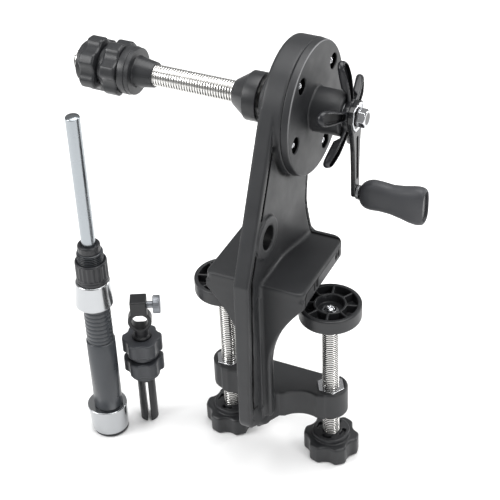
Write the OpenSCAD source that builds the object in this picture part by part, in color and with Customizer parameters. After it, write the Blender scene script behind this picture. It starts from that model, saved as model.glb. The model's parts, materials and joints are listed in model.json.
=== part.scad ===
// Table-clamp winder for filling fishing reels.
// A one-piece stand clamps to a table edge with two screws. Its round head carries a hand-cranked,
// threaded spindle that holds the supply spool between two cones. A rod handle with a reel seat
// and an adapter that plugs into the arm stand beside it.
// X runs along the spindle towards the crank, Y away from the user over the table, Z up.
// The origin is the middle of the face that rests on the table top.

/* [Spindle] */
// Height of the spindle's axis above the table top
spindle_h = 110; // [100:1:130]
// How far the spindle's axis lies behind the clamp screws
spindle_back = 37; // [30:1:42]
// Outside diameter of the threaded rod
rod_d = 15; // [13:0.5:16]
// Reach of the rod from the middle of the arm
rod_reach = 166; // [150:1:200]
// Pitch of the rod's thread
rod_pitch = 2; // [1.5:0.25:2.5]

/* [Head] */
// Diameter of the moulded head
head_d = 93; // [88:1:100]
// Thickness of the head from the arm's outer face to the cover's seam
head_t = 15.8; // [14.5:0.1:18]
// Wall of the head's shell
head_wall = 4; // [3:0.25:5]
// Diameter of the screwed cover
cover_d = 90; // [86:1:93]
// Thickness of the cover's flat
cover_t = 5.4; // [4.8:0.1:6.5]
// Diameter of the hub on the cover
hub_d = 30; // [28:0.5:32]
// Length of the hub in front of the cover
hub_len = 21.3; // [20:0.1:24]
// Diameter of the bearing boss on the spool side
boss_d = 33; // [31:0.5:36]
// Length of the bearing boss
boss_len = 14; // [12:0.5:16]

/* [Arm] */
// Thickness of the arm
arm_t = 11; // [10:0.5:13]
// Thickness of the post's rib at its foot
rib_foot_t = 8; // [7:0.5:10]
// Distance from the clamp screws to the front of the arm's knee
knee_front = 55; // [52:1:60]
// Height of the knee above the table top
knee_h = 22; // [18:1:26]
// How much further forward the foot of the rib stands
foot_lean = 4.6; // [2:0.1:6]
// Distance from the screws to the arm's back edge
arm_back = 46.5; // [42:0.5:48]
// Bore in the arm that takes the adapter or a rod
arm_hole_d = 16.8; // [16:0.1:18]
// Outside diameter of the ring round that bore
arm_ring_d = 30.2; // [27:0.2:33]

/* [Clamp] */
// Width of the jaw along the spindle
jaw_w = 72; // [68:1:80]
// Depth of the jaw over the table
jaw_depth = 73; // [68:1:80]
// Thickness of the jaw
jaw_t = 12; // [10:0.5:14]
// Distance from the screws to the front of the jaw and post
jaw_front = 36; // [34:0.5:40]
// Thickness of the post's plate
post_t = 7.5; // [7:0.5:9]
// Width of the post's plate below the gusset
post_w = 19; // [17:0.5:24]
// Depth of the mouth, from the table face to the yoke
mouth_h = 92.6; // [88:0.2:100]
// Thickness of the yoke
yoke_t = 22.4; // [20:0.2:26]
// Distance between the two clamp screws
screw_span = 80; // [76:1:84]
// Outside diameter of the clamp screws
screw_d = 12; // [10:0.5:13]
// Diameter of the bosses at the yoke's ends
yoke_boss_d = 24.4; // [24:0.2:28]
// Diameter of the pads
pad_d = 44; // [40:1:48]
// Thickness of the pads
pad_t = 11; // [10:0.5:13]
// How far the pads stand below the table face
pad_drop = 18; // [12:1:26]
// Length of screw between the pad and its knob
screw_len = 110; // [106:1:116]

/* [Knobs and nuts] */
// Diameter over the lobes of knobs and cone nuts
knob_d = 40; // [38:0.5:42]
// Number of lobes on knobs and nuts
lobes = 6; // [5:1:8]
// Depth of the hollows between lobes
lobe_depth = 3; // [2:0.25:3.5]
// Diameter over the lobes of the two spindle nuts
nut_d = 39; // [36:0.5:42]
// Height of a knob's lobed body
knob_h = 15; // [13:0.5:17]
// Height of the ring on top of a knob
knob_ring_h = 4; // [3:0.5:5]
// Thickness of a cone nut's lobed part
nut_t = 12; // [10:0.5:14]
// Length of a cone nut's collar
nut_collar = 4.6; // [3:0.2:6]

/* [Cones] */
// Largest diameter of the inner cone
cone_d = 34; // [30:0.5:38]
// Length of the inner cone's taper
cone_len = 11.2; // [9:0.2:14]
// Length of its cylindrical root
cone_root = 9.8; // [8:0.2:12]
// Place of the inner cone's back, from the middle of the arm
cone_back = 21.7; // [21:0.1:26]
// Place of the outer cone's flange, from the middle of the arm
flange_at = 117.6; // [100:0.1:122]
// Diameter of the outer cone's flange
flange_d = 33; // [31:0.5:38]

/* [Crank] */
// Radius of the crank, from the spindle to the knob's pin
crank_r = 58.8; // [50:0.2:70]
// Thickness of the crank arm
crank_t = 3.6; // [3:0.1:5]
// Length of the crank's knob
grip_len = 46.2; // [40:0.1:54]
// Widest part of the knob
grip_w = 26.4; // [24:0.2:30]
// Flattened thickness of the knob
grip_t = 14; // [12:0.5:18]
// Radius to the tips of the star wheel
star_r = 37; // [34:0.5:42]
// Number of arms on the star wheel
star_arms = 5; // [4:1:6]

/* [Rod handle] */
// Overall height of the rod handle
handle_h = 272.3; // [262:0.1:298]
// Diameter of its tube
tube_d = 10; // [9:0.25:11]
// Diameter of the reel seat's body
seat_d = 21; // [20:0.25:23]
// Height of the reel seat, from its foot to its threaded end
seat_h = 164.5; // [160:0.5:174]

/* [Adapter] */
// Overall height of the adapter
adapter_h = 113.1; // [110:0.1:126]
// Diameter of the adapter's split shank
shank_d = 13.2; // [12:0.1:14]
// Diameter over the lobes of the adapter's nuts
adapter_nut_d = 29.4; // [28:0.2:32]
// Bore of the adapter's ring
ring_bore_d = 12; // [11.5:0.1:12.5]

/* [Hidden] */

$fn = 96;

// Clearances and overruns shared by the whole object
run_gap = 0.05;
face_gap = 0.3;
cut = 1;

// Head, measured along X from the middle of the arm
arm_face = arm_t / 2;
seam_at = head_t - arm_face;
cover_at = seam_at + cover_t;
cover_draft = 1.2;
hub_base_len = 6;
hub_base_d = 42;
hub_mid_d = 33;
hub_at = cover_at + hub_len;
cavity_floor = 3 * head_wall / 4 - arm_face;
spigot_len = 2;
spigot_wall = 1.6;
boss_at = -arm_face - boss_len;
shell_round = 5;

// Drag stack inside the head
washer_t = 1.8;
disc_t = 2.5;
plate_t = 2.5;
stack_d = 58;
sleeve_d = 21;
spring_len = 1.8;
washer_a_at = cavity_floor;
disc_at = washer_a_at + washer_t + face_gap;
washer_b_at = disc_at + disc_t + face_gap;
plate_at = washer_b_at + washer_t;
shaft_bore_d = rod_d + 4 * run_gap;

// Bearing in the spool-side boss
bearing_t = 5;
bearing_d = 24;
bearing_lip = 1.2;
bearing_at = boss_at + bearing_lip;

// Shaft steps beyond the hub
star_thread_d = 11;
crank_seat_d = 8;
star_at = hub_at + face_gap;
star_t = 3.8;
star_hub_proud = 0.3;
star_top = star_t - star_hub_proud;
star_hub_d = 19;
star_arm_w = 8.6;
star_arm_t = 4.6;
star_sweep = 4.6;
star_rim = 1.5;
star_recess = 1.2;
crank_at = star_at + star_t + face_gap;
retainer_t = 1.3;
crank_nut_h = 5.2;
crank_nut_af = 13;
crank_flange_d = 14.6;
crank_flange_t = 1.4;
nut_at = crank_at + crank_t + retainer_t;
shaft_end = nut_at + crank_nut_h;

// Cover screws: the places round the cover that the object shows, in degrees from the top
cover_screw_angles = [-38, -104, 55, 157];
cover_screw_inset = 9.5;
cover_screw_r = cover_d / 2 - cover_screw_inset;
screw_sink_d = 11;
screw_sink_h = 3.2;
screw_head_d = 7.4;
screw_head_h = 2.2;
screw_shank_d = 3.6;
screw_shank_len = 11;
pillar_d = 9.4;

// Jaw, post and yoke
jaw_back = jaw_depth - jaw_front;
post_back = -jaw_front + post_t;
gusset_h = 60;
yoke_top = -mouth_h;
yoke_bottom = -mouth_h - yoke_t;
yoke_inset = 2.6;
yoke_back = yoke_boss_d / 2 - yoke_inset;
yoke_front = -yoke_boss_d / 2 - yoke_inset / 2;
yoke_fillet = 19;
foot_front = -knee_front - foot_lean;
foot_round = 12;
nose_reach = 4;
nose_front = -jaw_front - nose_reach;
jaw_corner = 9;
screw_x = screw_span / 2;
screw_hole_d = screw_d + 2 * run_gap;
hex_af = screw_d * 1.5;
hex_h = screw_d * 0.8;
hex_gap = 0.15;

// Clamp pads, knobs and screws
pad_top = -pad_drop;
pad_bottom = pad_top - pad_t;
pad_floor = 4;
pad_rim = 3;
pad_ring_d = 23;
pad_ring_wall = 1.6;
pad_spoke_t = 1.5;
pad_spokes = 8;
pad_bore_d = 5;
pad_socket_d = screw_d + 1;
pad_socket_h = 2.6;
pad_spoke_drop = 0.6;
pad_phase = 15;
knob_phase = 12;
pad_washer_d = 12;
pad_washer_t = 0.8;
pad_head_d = 8;
pad_head_h = 2.6;
pad_seat = pad_bottom + pad_socket_h - face_gap;
knob_top = pad_bottom - screw_len + knob_ring_h;
knob_ring_d = 27;
nut_collar_d = 28.8;
lobe_cut_share = 0.22;
lobe_cut_r = knob_d * lobe_cut_share;

// Rod handle and adapter stand on the level of the knobs' undersides
floor_z = knob_top - knob_ring_h - knob_h;
handle_x = -121.7;
handle_y = -43.5;
adapter_x = -100.4;
adapter_y = -21.9;
accessory_turn = 27;

// Runs a Y-Z profile along X
module along_x(x0, x1) {
  translate([x0, 0, 0]) rotate([90, 0, 90]) linear_extrude(height = x1 - x0) children();
}

// Runs an X-Z profile along Y
module along_y(y0, y1) {
  translate([0, y1, 0]) rotate([90, 0, 0]) linear_extrude(height = y1 - y0) children();
}

// Turns a profile of radius and station about the spindle's axis
module about_spindle() {
  translate([0, spindle_back, spindle_h]) rotate([0, 90, 0]) rotate_extrude() children();
}

// Puts children on the spindle's axis at station x, their Z along X
module on_spindle(x) {
  translate([x, spindle_back, spindle_h]) rotate([0, 90, 0]) children();
}

// A flat ring
module ring(d_out, d_in, h) {
  difference() {
    cylinder(d = d_out, h = h);
    translate([0, 0, -cut]) cylinder(d = d_in, h = h + 2 * cut);
  }
}

// Round outline with scooped hollows that leave lobes
module lobed(d, n, depth, r) {
  difference() {
    circle(d = d);
    for (i = [0 : n - 1])
      rotate((i + 0.5) * 360 / n) translate([d / 2 + r - depth, 0]) circle(r = r);
  }
}

// Hexagon across flats
module hexagon(af) {
  circle(d = af / cos(30), $fn = 6);
}

// Where the line from point p touches the circle of radius r about c
function touch(p, c, r) =
  let (d = norm(c - p), a = asin(r / d), b = atan2(c[1] - p[1], c[0] - p[0]), l = sqrt(d * d - r * r))
  [p[0] + l * cos(a + b), p[1] + l * sin(a + b)];

// Half width of the gusset at height z under the jaw
function gusset_half(z) = post_w / 2 + (jaw_w - post_w) / 2 * pow(1 + z / gusset_h, 2);

head_c = [spindle_back, spindle_h];
knee = [-knee_front, knee_h];
head_touch = touch(knee, head_c, head_d / 2);
foot_c = [foot_front + foot_round, yoke_bottom + 2 * foot_round];
post_mid = [post_back - post_t / 2, yoke_bottom];
foot_touch = touch(post_mid, foot_c, foot_round);

// Side outline of the arm from the head to the foot of the rib
module arm_outline() {
  translate(head_c) circle(d = head_d - 2 * shell_round / 3);
  translate(foot_c) circle(r = foot_round);
  polygon([
    head_touch, knee, [foot_front, foot_c[1]], foot_c, foot_touch, post_mid,
    [post_back, yoke_bottom + yoke_t / 2], [post_back, jaw_t / 2], [jaw_back - jaw_t / 2, jaw_t / 2],
    [jaw_back, jaw_t], [arm_back, jaw_t + knee_h], [arm_back, spindle_h - head_d / 2 + shell_round],
    head_c
  ]);
}

// Front outline of the arm: full thickness above the knee, tapering to the foot
module arm_taper() {
  polygon([
    [-rib_foot_t / 2, yoke_bottom - cut], [rib_foot_t / 2, yoke_bottom - cut],
    [arm_face, knee_h], [arm_face, spindle_h + head_d], [-arm_face, spindle_h + head_d],
    [-arm_face, knee_h]
  ]);
}

// The arm and rib
module arm() {
  intersection() {
    along_x(-arm_t, arm_t) arm_outline();
    along_y(-2 * knee_front, 2 * knee_front) arm_taper();
  }
}

// Shell of the head with a rounded outer edge
module head_shell() {
  about_spindle() difference() {
    polygon(concat(
      [[0, -arm_face], [head_d / 2 - shell_round, -arm_face]],
      [for (a = [15 : 15 : 75]) [
        head_d / 2 - shell_round + shell_round * sin(a), -arm_face + shell_round - shell_round * cos(a)
      ]],
      [[head_d / 2, shell_round - arm_face], [head_d / 2, seam_at], [0, seam_at]]
    ));
  }
}

// Jaw with rounded rear corners
module jaw() {
  linear_extrude(height = jaw_t) {
    translate([-jaw_w / 2, -jaw_front]) square([jaw_w, jaw_depth - jaw_corner]);
    translate([-jaw_w / 2 + jaw_corner, -jaw_front]) square([jaw_w - 2 * jaw_corner, jaw_depth]);
    for (s = [-1, 1])
      translate([s * (jaw_w / 2 - jaw_corner), jaw_back - jaw_corner]) circle(r = jaw_corner);
  }
}

// Web that flares from the arm onto the rear of the jaw
module jaw_flare() {
  hull() {
    translate([0, 0, jaw_t / 2]) linear_extrude(height = jaw_t / 2)
      polygon([
        [-arm_face, 0], [-arm_t, jaw_back - jaw_t / 6], [arm_t, jaw_back - jaw_t / 6], [arm_face, 0]
      ]);
    translate([-arm_face, 0, jaw_t + knee_h]) cube([arm_t, arm_back, jaw_t / 2]);
  }
}

// Plate of the post that widens to the jaw's tips
module gusset() {
  steps = 14;
  right = [for (i = [0 : steps]) let (z = -gusset_h * (1 - i / steps)) [gusset_half(z), z]];
  left = [for (i = [steps : -1 : 0]) [-right[i][0], right[i][1]]];
  along_y(-jaw_front, post_back) polygon(concat(
    [[-post_w / 2, yoke_top - yoke_t / 2], [post_w / 2, yoke_top - yoke_t / 2]], right,
    [[jaw_w / 2, jaw_t / 2], [-jaw_w / 2, jaw_t / 2]], left
  ));
}

// Half of the yoke's outline without its boss: scooped in front, drawn out to a nose under the rib
module yoke_half() {
  difference() {
    polygon([
      [0, nose_front], [post_w / 4, nose_front + yoke_fillet / 2], [post_w / 2, -yoke_fillet - post_t / 2],
      [post_w / 2 + yoke_fillet / 2, -yoke_fillet], [screw_x, yoke_front], [screw_x, yoke_back], [0, yoke_back]
    ]);
    translate([post_w / 2 + yoke_fillet, yoke_front - yoke_fillet]) circle(r = yoke_fillet);
  }
}

// Cross yoke with a boss at each end
module yoke() {
  translate([0, 0, yoke_bottom]) linear_extrude(height = yoke_t) {
    for (s = [-1, 1]) translate([s * screw_x, 0]) circle(d = yoke_boss_d);
    yoke_half();
    mirror([1, 0]) yoke_half();
  }
}

// Bore in the arm with its raised ring
arm_hole_y = -24.3;
arm_hole_z = 43.8;
arm_ring_h = 1.5;

// Stand: arm, head shell, jaw, post and yoke in one moulding
module stand() {
  color("#2f3032") difference() {
    union() {
      arm();
      head_shell();
      on_spindle(boss_at) cylinder(d = boss_d, h = boss_len + cut);
      jaw();
      jaw_flare();
      gusset();
      yoke();
      translate([0, arm_hole_y, arm_hole_z]) rotate([0, 90, 0])
        cylinder(d = arm_ring_d, h = arm_t + 2 * arm_ring_h, center = true);
    }
    difference() {
      on_spindle(cavity_floor) cylinder(d = head_d - 2 * head_wall, h = head_t);
      for (a = cover_screw_angles) cover_place(a)
        translate([0, 0, cavity_floor - cut]) cylinder(d = pillar_d, h = seam_at - cavity_floor + cut);
    }
    for (a = cover_screw_angles) cover_place(a)
      translate([0, 0, cavity_floor]) cylinder(d = screw_shank_d, h = head_t);
    on_spindle(boss_at - cut) cylinder(d = shaft_bore_d, h = boss_len + head_t);
    on_spindle(boss_at - cut) cylinder(d = bearing_d, h = bearing_lip + bearing_t + cut);
    translate([-arm_t, arm_hole_y, arm_hole_z]) rotate([0, 90, 0]) cylinder(d = arm_hole_d, h = 2 * arm_t);
    for (s = [-1, 1]) translate([s * screw_x, 0, yoke_bottom - cut]) {
      cylinder(d = screw_hole_d + 2 * face_gap, h = yoke_t + 2 * cut);
      translate([0, 0, cut + yoke_t - hex_h]) linear_extrude(height = hex_h + cut)
        hexagon(hex_af + 2 * hex_gap);
    }
  }
}

// Cover with its hub and a spigot that centres it in the shell
module head_cover() {
  color("#36373a") difference() {
    union() {
      about_spindle() polygon([
        [0, seam_at], [cover_d / 2 + cover_draft, seam_at], [cover_d / 2, cover_at - run_gap * 8],
        [cover_d / 2 - run_gap * 8, cover_at], [hub_base_d / 2, cover_at],
        [hub_mid_d / 2, cover_at + hub_base_len / 3], [hub_d / 2, cover_at + hub_base_len],
        [hub_d / 2, hub_at], [0, hub_at]
      ]);
      on_spindle(seam_at - spigot_len)
        ring(head_d - 2 * head_wall - 2 * run_gap, head_d - 2 * head_wall - 2 * spigot_wall, spigot_len + cut);
    }
    on_spindle(seam_at - spigot_len - cut) cylinder(d = sleeve_d + 2 * run_gap, h = hub_at);
    for (a = cover_screw_angles) cover_place(a) {
      translate([0, 0, cover_at - screw_sink_h]) cylinder(d = screw_sink_d, h = screw_sink_h + cut);
      translate([0, 0, seam_at - spigot_len - cut]) cylinder(d = screw_shank_d, h = cover_t + spigot_len + 2 * cut);
    }
  }
}

// Place of a cover screw, measured from the top towards the back
module cover_place(a) {
  translate([0, spindle_back + cover_screw_r * sin(a), spindle_h + cover_screw_r * cos(a)])
    rotate([0, 90, 0]) children();
}

// Four cross-head screws in the cover
module cover_screws() {
  color("silver") for (a = cover_screw_angles) cover_place(a) {
    translate([0, 0, cover_at - screw_sink_h]) cylinder(d = screw_head_d, h = screw_head_h);
    translate([0, 0, cover_at - screw_sink_h - screw_shank_len])
      cylinder(d = screw_shank_d, h = screw_shank_len + screw_head_h / 2);
  }
}

// Sealed bearing in the boss
module spool_side_bearing() {
  color("gainsboro") on_spindle(bearing_at) ring(bearing_d, rod_d + 2 * run_gap, bearing_t);
}

// Two friction washers, one on each side of the drag disc
module friction_washers() {
  color("dimgray") {
    on_spindle(washer_a_at) ring(stack_d, shaft_bore_d, washer_t);
    on_spindle(washer_b_at) ring(stack_d, shaft_bore_d, washer_t);
  }
}

// Pressure plate with the sleeve that the star wheel pushes
module pressure_plate() {
  color("slategray") {
    on_spindle(plate_at) ring(stack_d, shaft_bore_d, plate_t);
    on_spindle(plate_at) ring(sleeve_d, shaft_bore_d, hub_at - spring_len - plate_at);
  }
}

// Threaded rod, plain journal and stepped crank end
module spindle_shaft() {
  color("silver") {
    on_spindle(-rod_reach) cylinder(d = rod_d, h = rod_reach + hub_at - spring_len);
    on_spindle(-rod_reach) cylinder(d = star_thread_d, h = rod_reach + crank_at);
    on_spindle(-rod_reach) cylinder(d = crank_seat_d, h = rod_reach + shaft_end);
  }
}

// Drag disc on the spindle
module drag_disc() {
  color("gainsboro") on_spindle(disc_at) ring(stack_d, rod_d, disc_t);
}

// Cone fixed on the rod
module inner_cone() {
  color("#2b2c2e") on_spindle(-cone_back) rotate([180, 0, 0]) difference() {
    union() {
      cylinder(d = cone_d, h = cone_root);
      translate([0, 0, cone_root]) cylinder(d1 = cone_d, d2 = rod_d + 2 * nose_wall, h = cone_len);
    }
    translate([0, 0, -cut]) cylinder(d = rod_d, h = cone_root + cone_len + 2 * cut);
  }
}

// Sliding cone with its flange
flange_t = 3.4;
outer_cone_len = 14;
outer_cone_d = 22;
nose_wall = 1.3;
step_d = 34;
step_len = 5.2;
module outer_cone() {
  color("#2b2c2e") on_spindle(-flange_at) difference() {
    union() {
      translate([0, 0, -flange_t]) cylinder(d = flange_d, h = flange_t);
      cylinder(d1 = outer_cone_d, d2 = rod_d + 2 * nose_wall, h = outer_cone_len);
      translate([0, 0, -flange_t - step_len]) cylinder(d = step_d, h = step_len + flange_t / 2);
    }
    translate([0, 0, -flange_t - step_len - cut])
      cylinder(d = rod_d + 2 * run_gap, h = flange_t + step_len + outer_cone_len + 2 * cut);
  }
}

// A lobed nut whose collar points towards the rod's end
module spindle_nut(phase) {
  rotate(phase) difference() {
    union() {
      linear_extrude(height = nut_t) lobed(nut_d, lobes, lobe_depth, lobe_cut_r);
      translate([0, 0, -nut_collar]) cylinder(d = nut_collar_d, h = nut_collar + nut_t / 2);
    }
    translate([0, 0, -nut_collar - cut]) cylinder(d = rod_d + 2 * run_gap, h = nut_collar + nut_t + 2 * cut);
  }
}

cone_nut_phase = 12;
lock_nut_phase = -6;
cone_nut_at = -flange_at - flange_t - step_len - face_gap - nut_t;
lock_nut_at = cone_nut_at - nut_collar - face_gap - nut_t;

module cone_nut() {
  color("#2b2c2e") on_spindle(cone_nut_at) spindle_nut(cone_nut_phase);
}

module lock_nut() {
  color("#2b2c2e") on_spindle(lock_nut_at) spindle_nut(lock_nut_phase);
}

// Crank arm: a shield-shaped head that holds the retainer, and a channelled lever
crank_head_w = 19;
crank_head_t = 2;
crank_neck_w = 8.6;
crank_low_w = 8;
crank_rim = 1.1;
crank_slot_w = 3;
crank_slot_share = 0.45;
slot_top = spindle_h - crank_r / 4;
slot_end = spindle_h - crank_r * 0.82;
pin_d = 5;

// Outline of the crank's head, shrunk by an inset
module shield(inset) {
  w = crank_head_w / 2 - inset;
  translate([spindle_back, spindle_h]) {
    polygon([
      [-w, 0], [-w * 0.82, w * 0.95], [-w * 0.45, w * 1.2], [w * 0.45, w * 1.2], [w * 0.82, w * 0.95], [w, 0],
      [w * 0.78, -w * 0.8], [w * 0.4, -w * 1.25], [-w * 0.4, -w * 1.25], [-w * 0.78, -w * 0.8]
    ]);
  }
}

module crank_arm() {
  color("#1d1e20") difference() {
    union() {
      along_x(crank_at, crank_at + crank_t) polygon([
        [spindle_back - crank_head_w / 2, spindle_h], [spindle_back + crank_head_w / 2, spindle_h],
        [spindle_back + crank_neck_w / 2, spindle_h - crank_head_w],
        [spindle_back + crank_low_w / 2, spindle_h - crank_r],
        [spindle_back - crank_low_w / 2, spindle_h - crank_r],
        [spindle_back - crank_neck_w / 2, spindle_h - crank_head_w]
      ]);
      along_x(crank_at, crank_at + crank_t + retainer_t + crank_head_t / 2) shield(0);
      translate([crank_at, spindle_back, spindle_h - crank_r]) rotate([0, 90, 0])
        cylinder(d = crank_low_w, h = crank_t);
    }
    along_x(crank_at + crank_t, crank_at + 2 * crank_t + retainer_t) shield(crank_rim);
    along_x(crank_at + crank_t * crank_slot_share, crank_at + crank_t + cut)
      translate([spindle_back - crank_slot_w / 2, slot_end]) square([crank_slot_w, slot_top - slot_end]);
    on_spindle(crank_at - cut) cylinder(d = crank_seat_d, h = crank_t + 2 * cut);
    translate([crank_at - cut, spindle_back, spindle_h - crank_r]) rotate([0, 90, 0])
      cylinder(d = pin_d, h = crank_t + 2 * cut);
  }
}

// Polished plate in the crank's head that keeps the crank nut from turning
module crank_retainer() {
  color("white") difference() {
    along_x(crank_at + crank_t, crank_at + crank_t + retainer_t) shield(crank_rim + run_gap);
    on_spindle(crank_at) cylinder(d = crank_seat_d + 2 * run_gap, h = shaft_end);
  }
}

module crank_nut() {
  color("white") on_spindle(nut_at) difference() {
    union() {
      linear_extrude(height = crank_nut_h) hexagon(crank_nut_af);
      cylinder(d = crank_flange_d, h = crank_flange_t);
    }
    translate([0, 0, -cut]) cylinder(d = crank_seat_d, h = crank_nut_h - crank_flange_t + cut);
  }
}

// Pin that the crank's knob turns on
neck_len = 2;
neck_d = 10;
grip_at = crank_at + crank_t + neck_len;
pin_len = grip_len * 0.8;
module knob_pin() {
  color("silver") {
    translate([crank_at, spindle_back, spindle_h - crank_r]) rotate([0, 90, 0])
      cylinder(d = pin_d, h = grip_at - crank_at + pin_len);
    translate([crank_at + crank_t, spindle_back, spindle_h - crank_r]) rotate([0, 90, 0])
      cylinder(d = neck_d, h = neck_len - face_gap);
  }
}

// Sprung washers between the sleeve and the star wheel
module spring_washers() {
  color("gainsboro") on_spindle(hub_at - spring_len)
    ring(sleeve_d - 2 * face_gap, star_thread_d + 2 * run_gap, spring_len + face_gap);
}

// Height that an arm's face has dropped towards the cover at radius r
star_root = star_hub_d / 2 + star_rim;
star_far = star_r + star_arm_w;
function star_drop(r) = star_sweep * (r - star_root) / (star_r - star_root);

// Side view of one star arm: outside the cover's hub it sweeps back towards the cover
module star_band() {
  polygon([
    [star_hub_d / 4, star_top], [star_root, star_top], [star_far, star_top - star_drop(star_far)],
    [star_far, star_top - star_arm_t - star_drop(star_far)], [hub_d / 2 + star_rim, 0], [star_hub_d / 4, 0]
  ]);
}

// Side view of the recess in an arm's outer face
module star_recess_band() {
  polygon([
    [star_root, star_top - star_recess], [star_far, star_top - star_recess - star_drop(star_far)],
    [star_far, star_t + star_arm_t], [star_root, star_t + star_arm_t]
  ]);
}

// Flat outline of one star arm along its length, shrunk by an inset
module star_arm_outline(inset) {
  w = star_arm_w / 2 - inset;
  translate([star_r - star_arm_w / 2, 0]) circle(r = w);
  polygon([
    [star_hub_d / 3, -w * 0.8], [star_r - star_arm_w, -w * 0.9], [star_r - star_arm_w / 2, -w * 0.98],
    [star_r - star_arm_w / 2, w * 0.98], [star_r - star_arm_w, w * 0.9], [star_hub_d / 3, w * 0.8]
  ]);
}

// Runs a side view across the width of an arm
module across_arm() {
  rotate([90, 0, 0]) translate([0, 0, -star_arm_w]) linear_extrude(height = 2 * star_arm_w) children();
}

// One arm of the star wheel along +X of its own frame
module star_arm() {
  difference() {
    intersection() {
      across_arm() star_band();
      translate([0, 0, -3 * star_sweep]) linear_extrude(height = 6 * star_sweep) star_arm_outline(0);
    }
    intersection() {
      across_arm() star_recess_band();
      translate([0, 0, -3 * star_sweep]) linear_extrude(height = 6 * star_sweep) star_arm_outline(star_rim);
    }
  }
}

// Star drag wheel
star_angle = 5;
module star_wheel() {
  color("#232426") difference() {
    on_spindle(star_at) {
      cylinder(d = star_hub_d, h = star_t);
      for (i = [0 : star_arms - 1]) rotate(180 - star_angle - i * 360 / star_arms) star_arm();
    }
    on_spindle(star_at - cut) cylinder(d = star_thread_d + 2 * run_gap, h = star_t + 2 * cut);
  }
}

// Knob of the crank: stations along its length with half widths above and below the pin's axis
grip_station_share = [0, 0.02, 0.08, 0.18, 0.33, 0.49, 0.66, 0.78, 0.88, 0.95, 0.985, 1];
grip_up_share = [0.3, 0.52, 0.73, 0.88, 0.88, 0.83, 0.91, 1.01, 1.08, 1.03, 0.85, 0.62];
grip_low_share = [0.36, 0.56, 0.75, 0.8, 0.75, 0.79, 0.93, 1.05, 1.09, 1.0, 0.82, 0.6];
grip_flat_share = [0.45, 0.66, 0.86, 0.96, 0.94, 0.9, 0.93, 0.98, 1.0, 0.94, 0.82, 0.66];
grip_chamfer_share = 0.55;

// Outline of the knob between two given rows of half widths
module grip_outline(low, up, size) {
  polygon(concat(
    [for (i = [0 : len(grip_station_share) - 1]) [grip_len * grip_station_share[i], up[i] * size]],
    [for (i = [len(grip_station_share) - 1 : -1 : 0]) [grip_len * grip_station_share[i], -low[i] * size]]
  ));
}

// Cross-section of the knob: a rectangle with chamfered corners
module grip_section() {
  w = grip_w * 0.545;
  t = grip_t / 2;
  k = grip_chamfer_share;
  polygon([
    [-t, -w * k], [-t * 0.8, -w * 0.85], [-t * k, -w], [t * k, -w], [t * 0.8, -w * 0.85], [t, -w * k],
    [t, w * k], [t * 0.8, w * 0.85], [t * k, w], [-t * k, w], [-t * 0.8, w * 0.85], [-t, w * k]
  ]);
}

module crank_knob() {
  color("#37383a") translate([grip_at, spindle_back, spindle_h - crank_r]) difference() {
    intersection() {
      along_y(-grip_t, grip_t) grip_outline(grip_low_share, grip_up_share, grip_w / 2);
      linear_extrude(height = 2 * grip_w, center = true)
        grip_outline(grip_flat_share, grip_flat_share, grip_t / 2);
      along_x(-cut, grip_len + cut) grip_section();
    }
    rotate([0, 90, 0]) translate([0, 0, -cut]) cylinder(d = pin_d + 2 * run_gap, h = pin_len + 2 * cut);
    rotate([0, 90, 0]) translate([0, 0, grip_len - end_cap_t]) cylinder(d = end_cap_d, h = end_cap_t + cut);
  }
}

end_cap_d = grip_t * 0.6;
end_cap_t = 1.6;
module knob_end_cap() {
  color("#151516") translate([grip_at + grip_len - end_cap_t, spindle_back, spindle_h - crank_r])
    rotate([0, 90, 0]) cylinder(d = end_cap_d, h = end_cap_t - face_gap);
}

// Hex nuts sunk in the yoke
module clamp_nuts() {
  color("silver") for (s = [-1, 1]) translate([s * screw_x, 0, yoke_top - hex_h]) difference() {
    linear_extrude(height = hex_h) hexagon(hex_af);
    translate([0, 0, -cut]) cylinder(d = screw_hole_d, h = hex_h + 2 * cut);
  }
}

// One clamp pad: a dish with a rim, an inner ring and spokes
module pad() {
  difference() {
    union() {
      translate([0, 0, pad_bottom]) ring(pad_d, pad_d - 2 * pad_rim, pad_t);
      translate([0, 0, pad_bottom]) cylinder(d = pad_d - pad_rim, h = pad_floor);
      translate([0, 0, pad_bottom]) ring(pad_ring_d, pad_ring_d - 2 * pad_ring_wall, pad_t - pad_spoke_drop);
      for (i = [0 : pad_spokes - 1]) rotate(pad_phase + i * 360 / pad_spokes)
        translate([(pad_ring_d - pad_ring_wall) / 2, -pad_spoke_t / 2, pad_bottom])
          cube([(pad_d - pad_ring_d - pad_rim) / 2, pad_spoke_t, pad_t - pad_spoke_drop]);
    }
    translate([0, 0, pad_bottom - cut]) cylinder(d = pad_bore_d + 2 * run_gap, h = pad_t);
    translate([0, 0, pad_bottom - cut]) cylinder(d = pad_socket_d, h = pad_socket_h + cut);
  }
}

module left_pad() {
  color("#2b2c2e") translate([-screw_x, 0, 0]) pad();
}

module right_pad() {
  color("#2b2c2e") translate([screw_x, 0, 0]) pad();
}

// One clamp screw, from inside its knob up to the pad's socket
module clamp_screw() {
  translate([0, 0, knob_top - knob_ring_h - knob_h / 2])
    cylinder(d = screw_d, h = pad_seat - knob_top + knob_ring_h + knob_h / 2);
}

module left_clamp_screw() {
  color("silver") translate([-screw_x, 0, 0]) clamp_screw();
}

module right_clamp_screw() {
  color("silver") translate([screw_x, 0, 0]) clamp_screw();
}

// Screw and washer that hold a pad on its clamp screw
module pad_screw() {
  translate([0, 0, pad_seat]) cylinder(d = pad_bore_d, h = pad_bottom + pad_floor + face_gap - pad_seat);
  translate([0, 0, pad_bottom + pad_floor + face_gap]) cylinder(d = pad_washer_d, h = pad_washer_t);
  translate([0, 0, pad_bottom + pad_floor + face_gap + pad_washer_t])
    cylinder(d = pad_head_d, h = pad_head_h);
}

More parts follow.
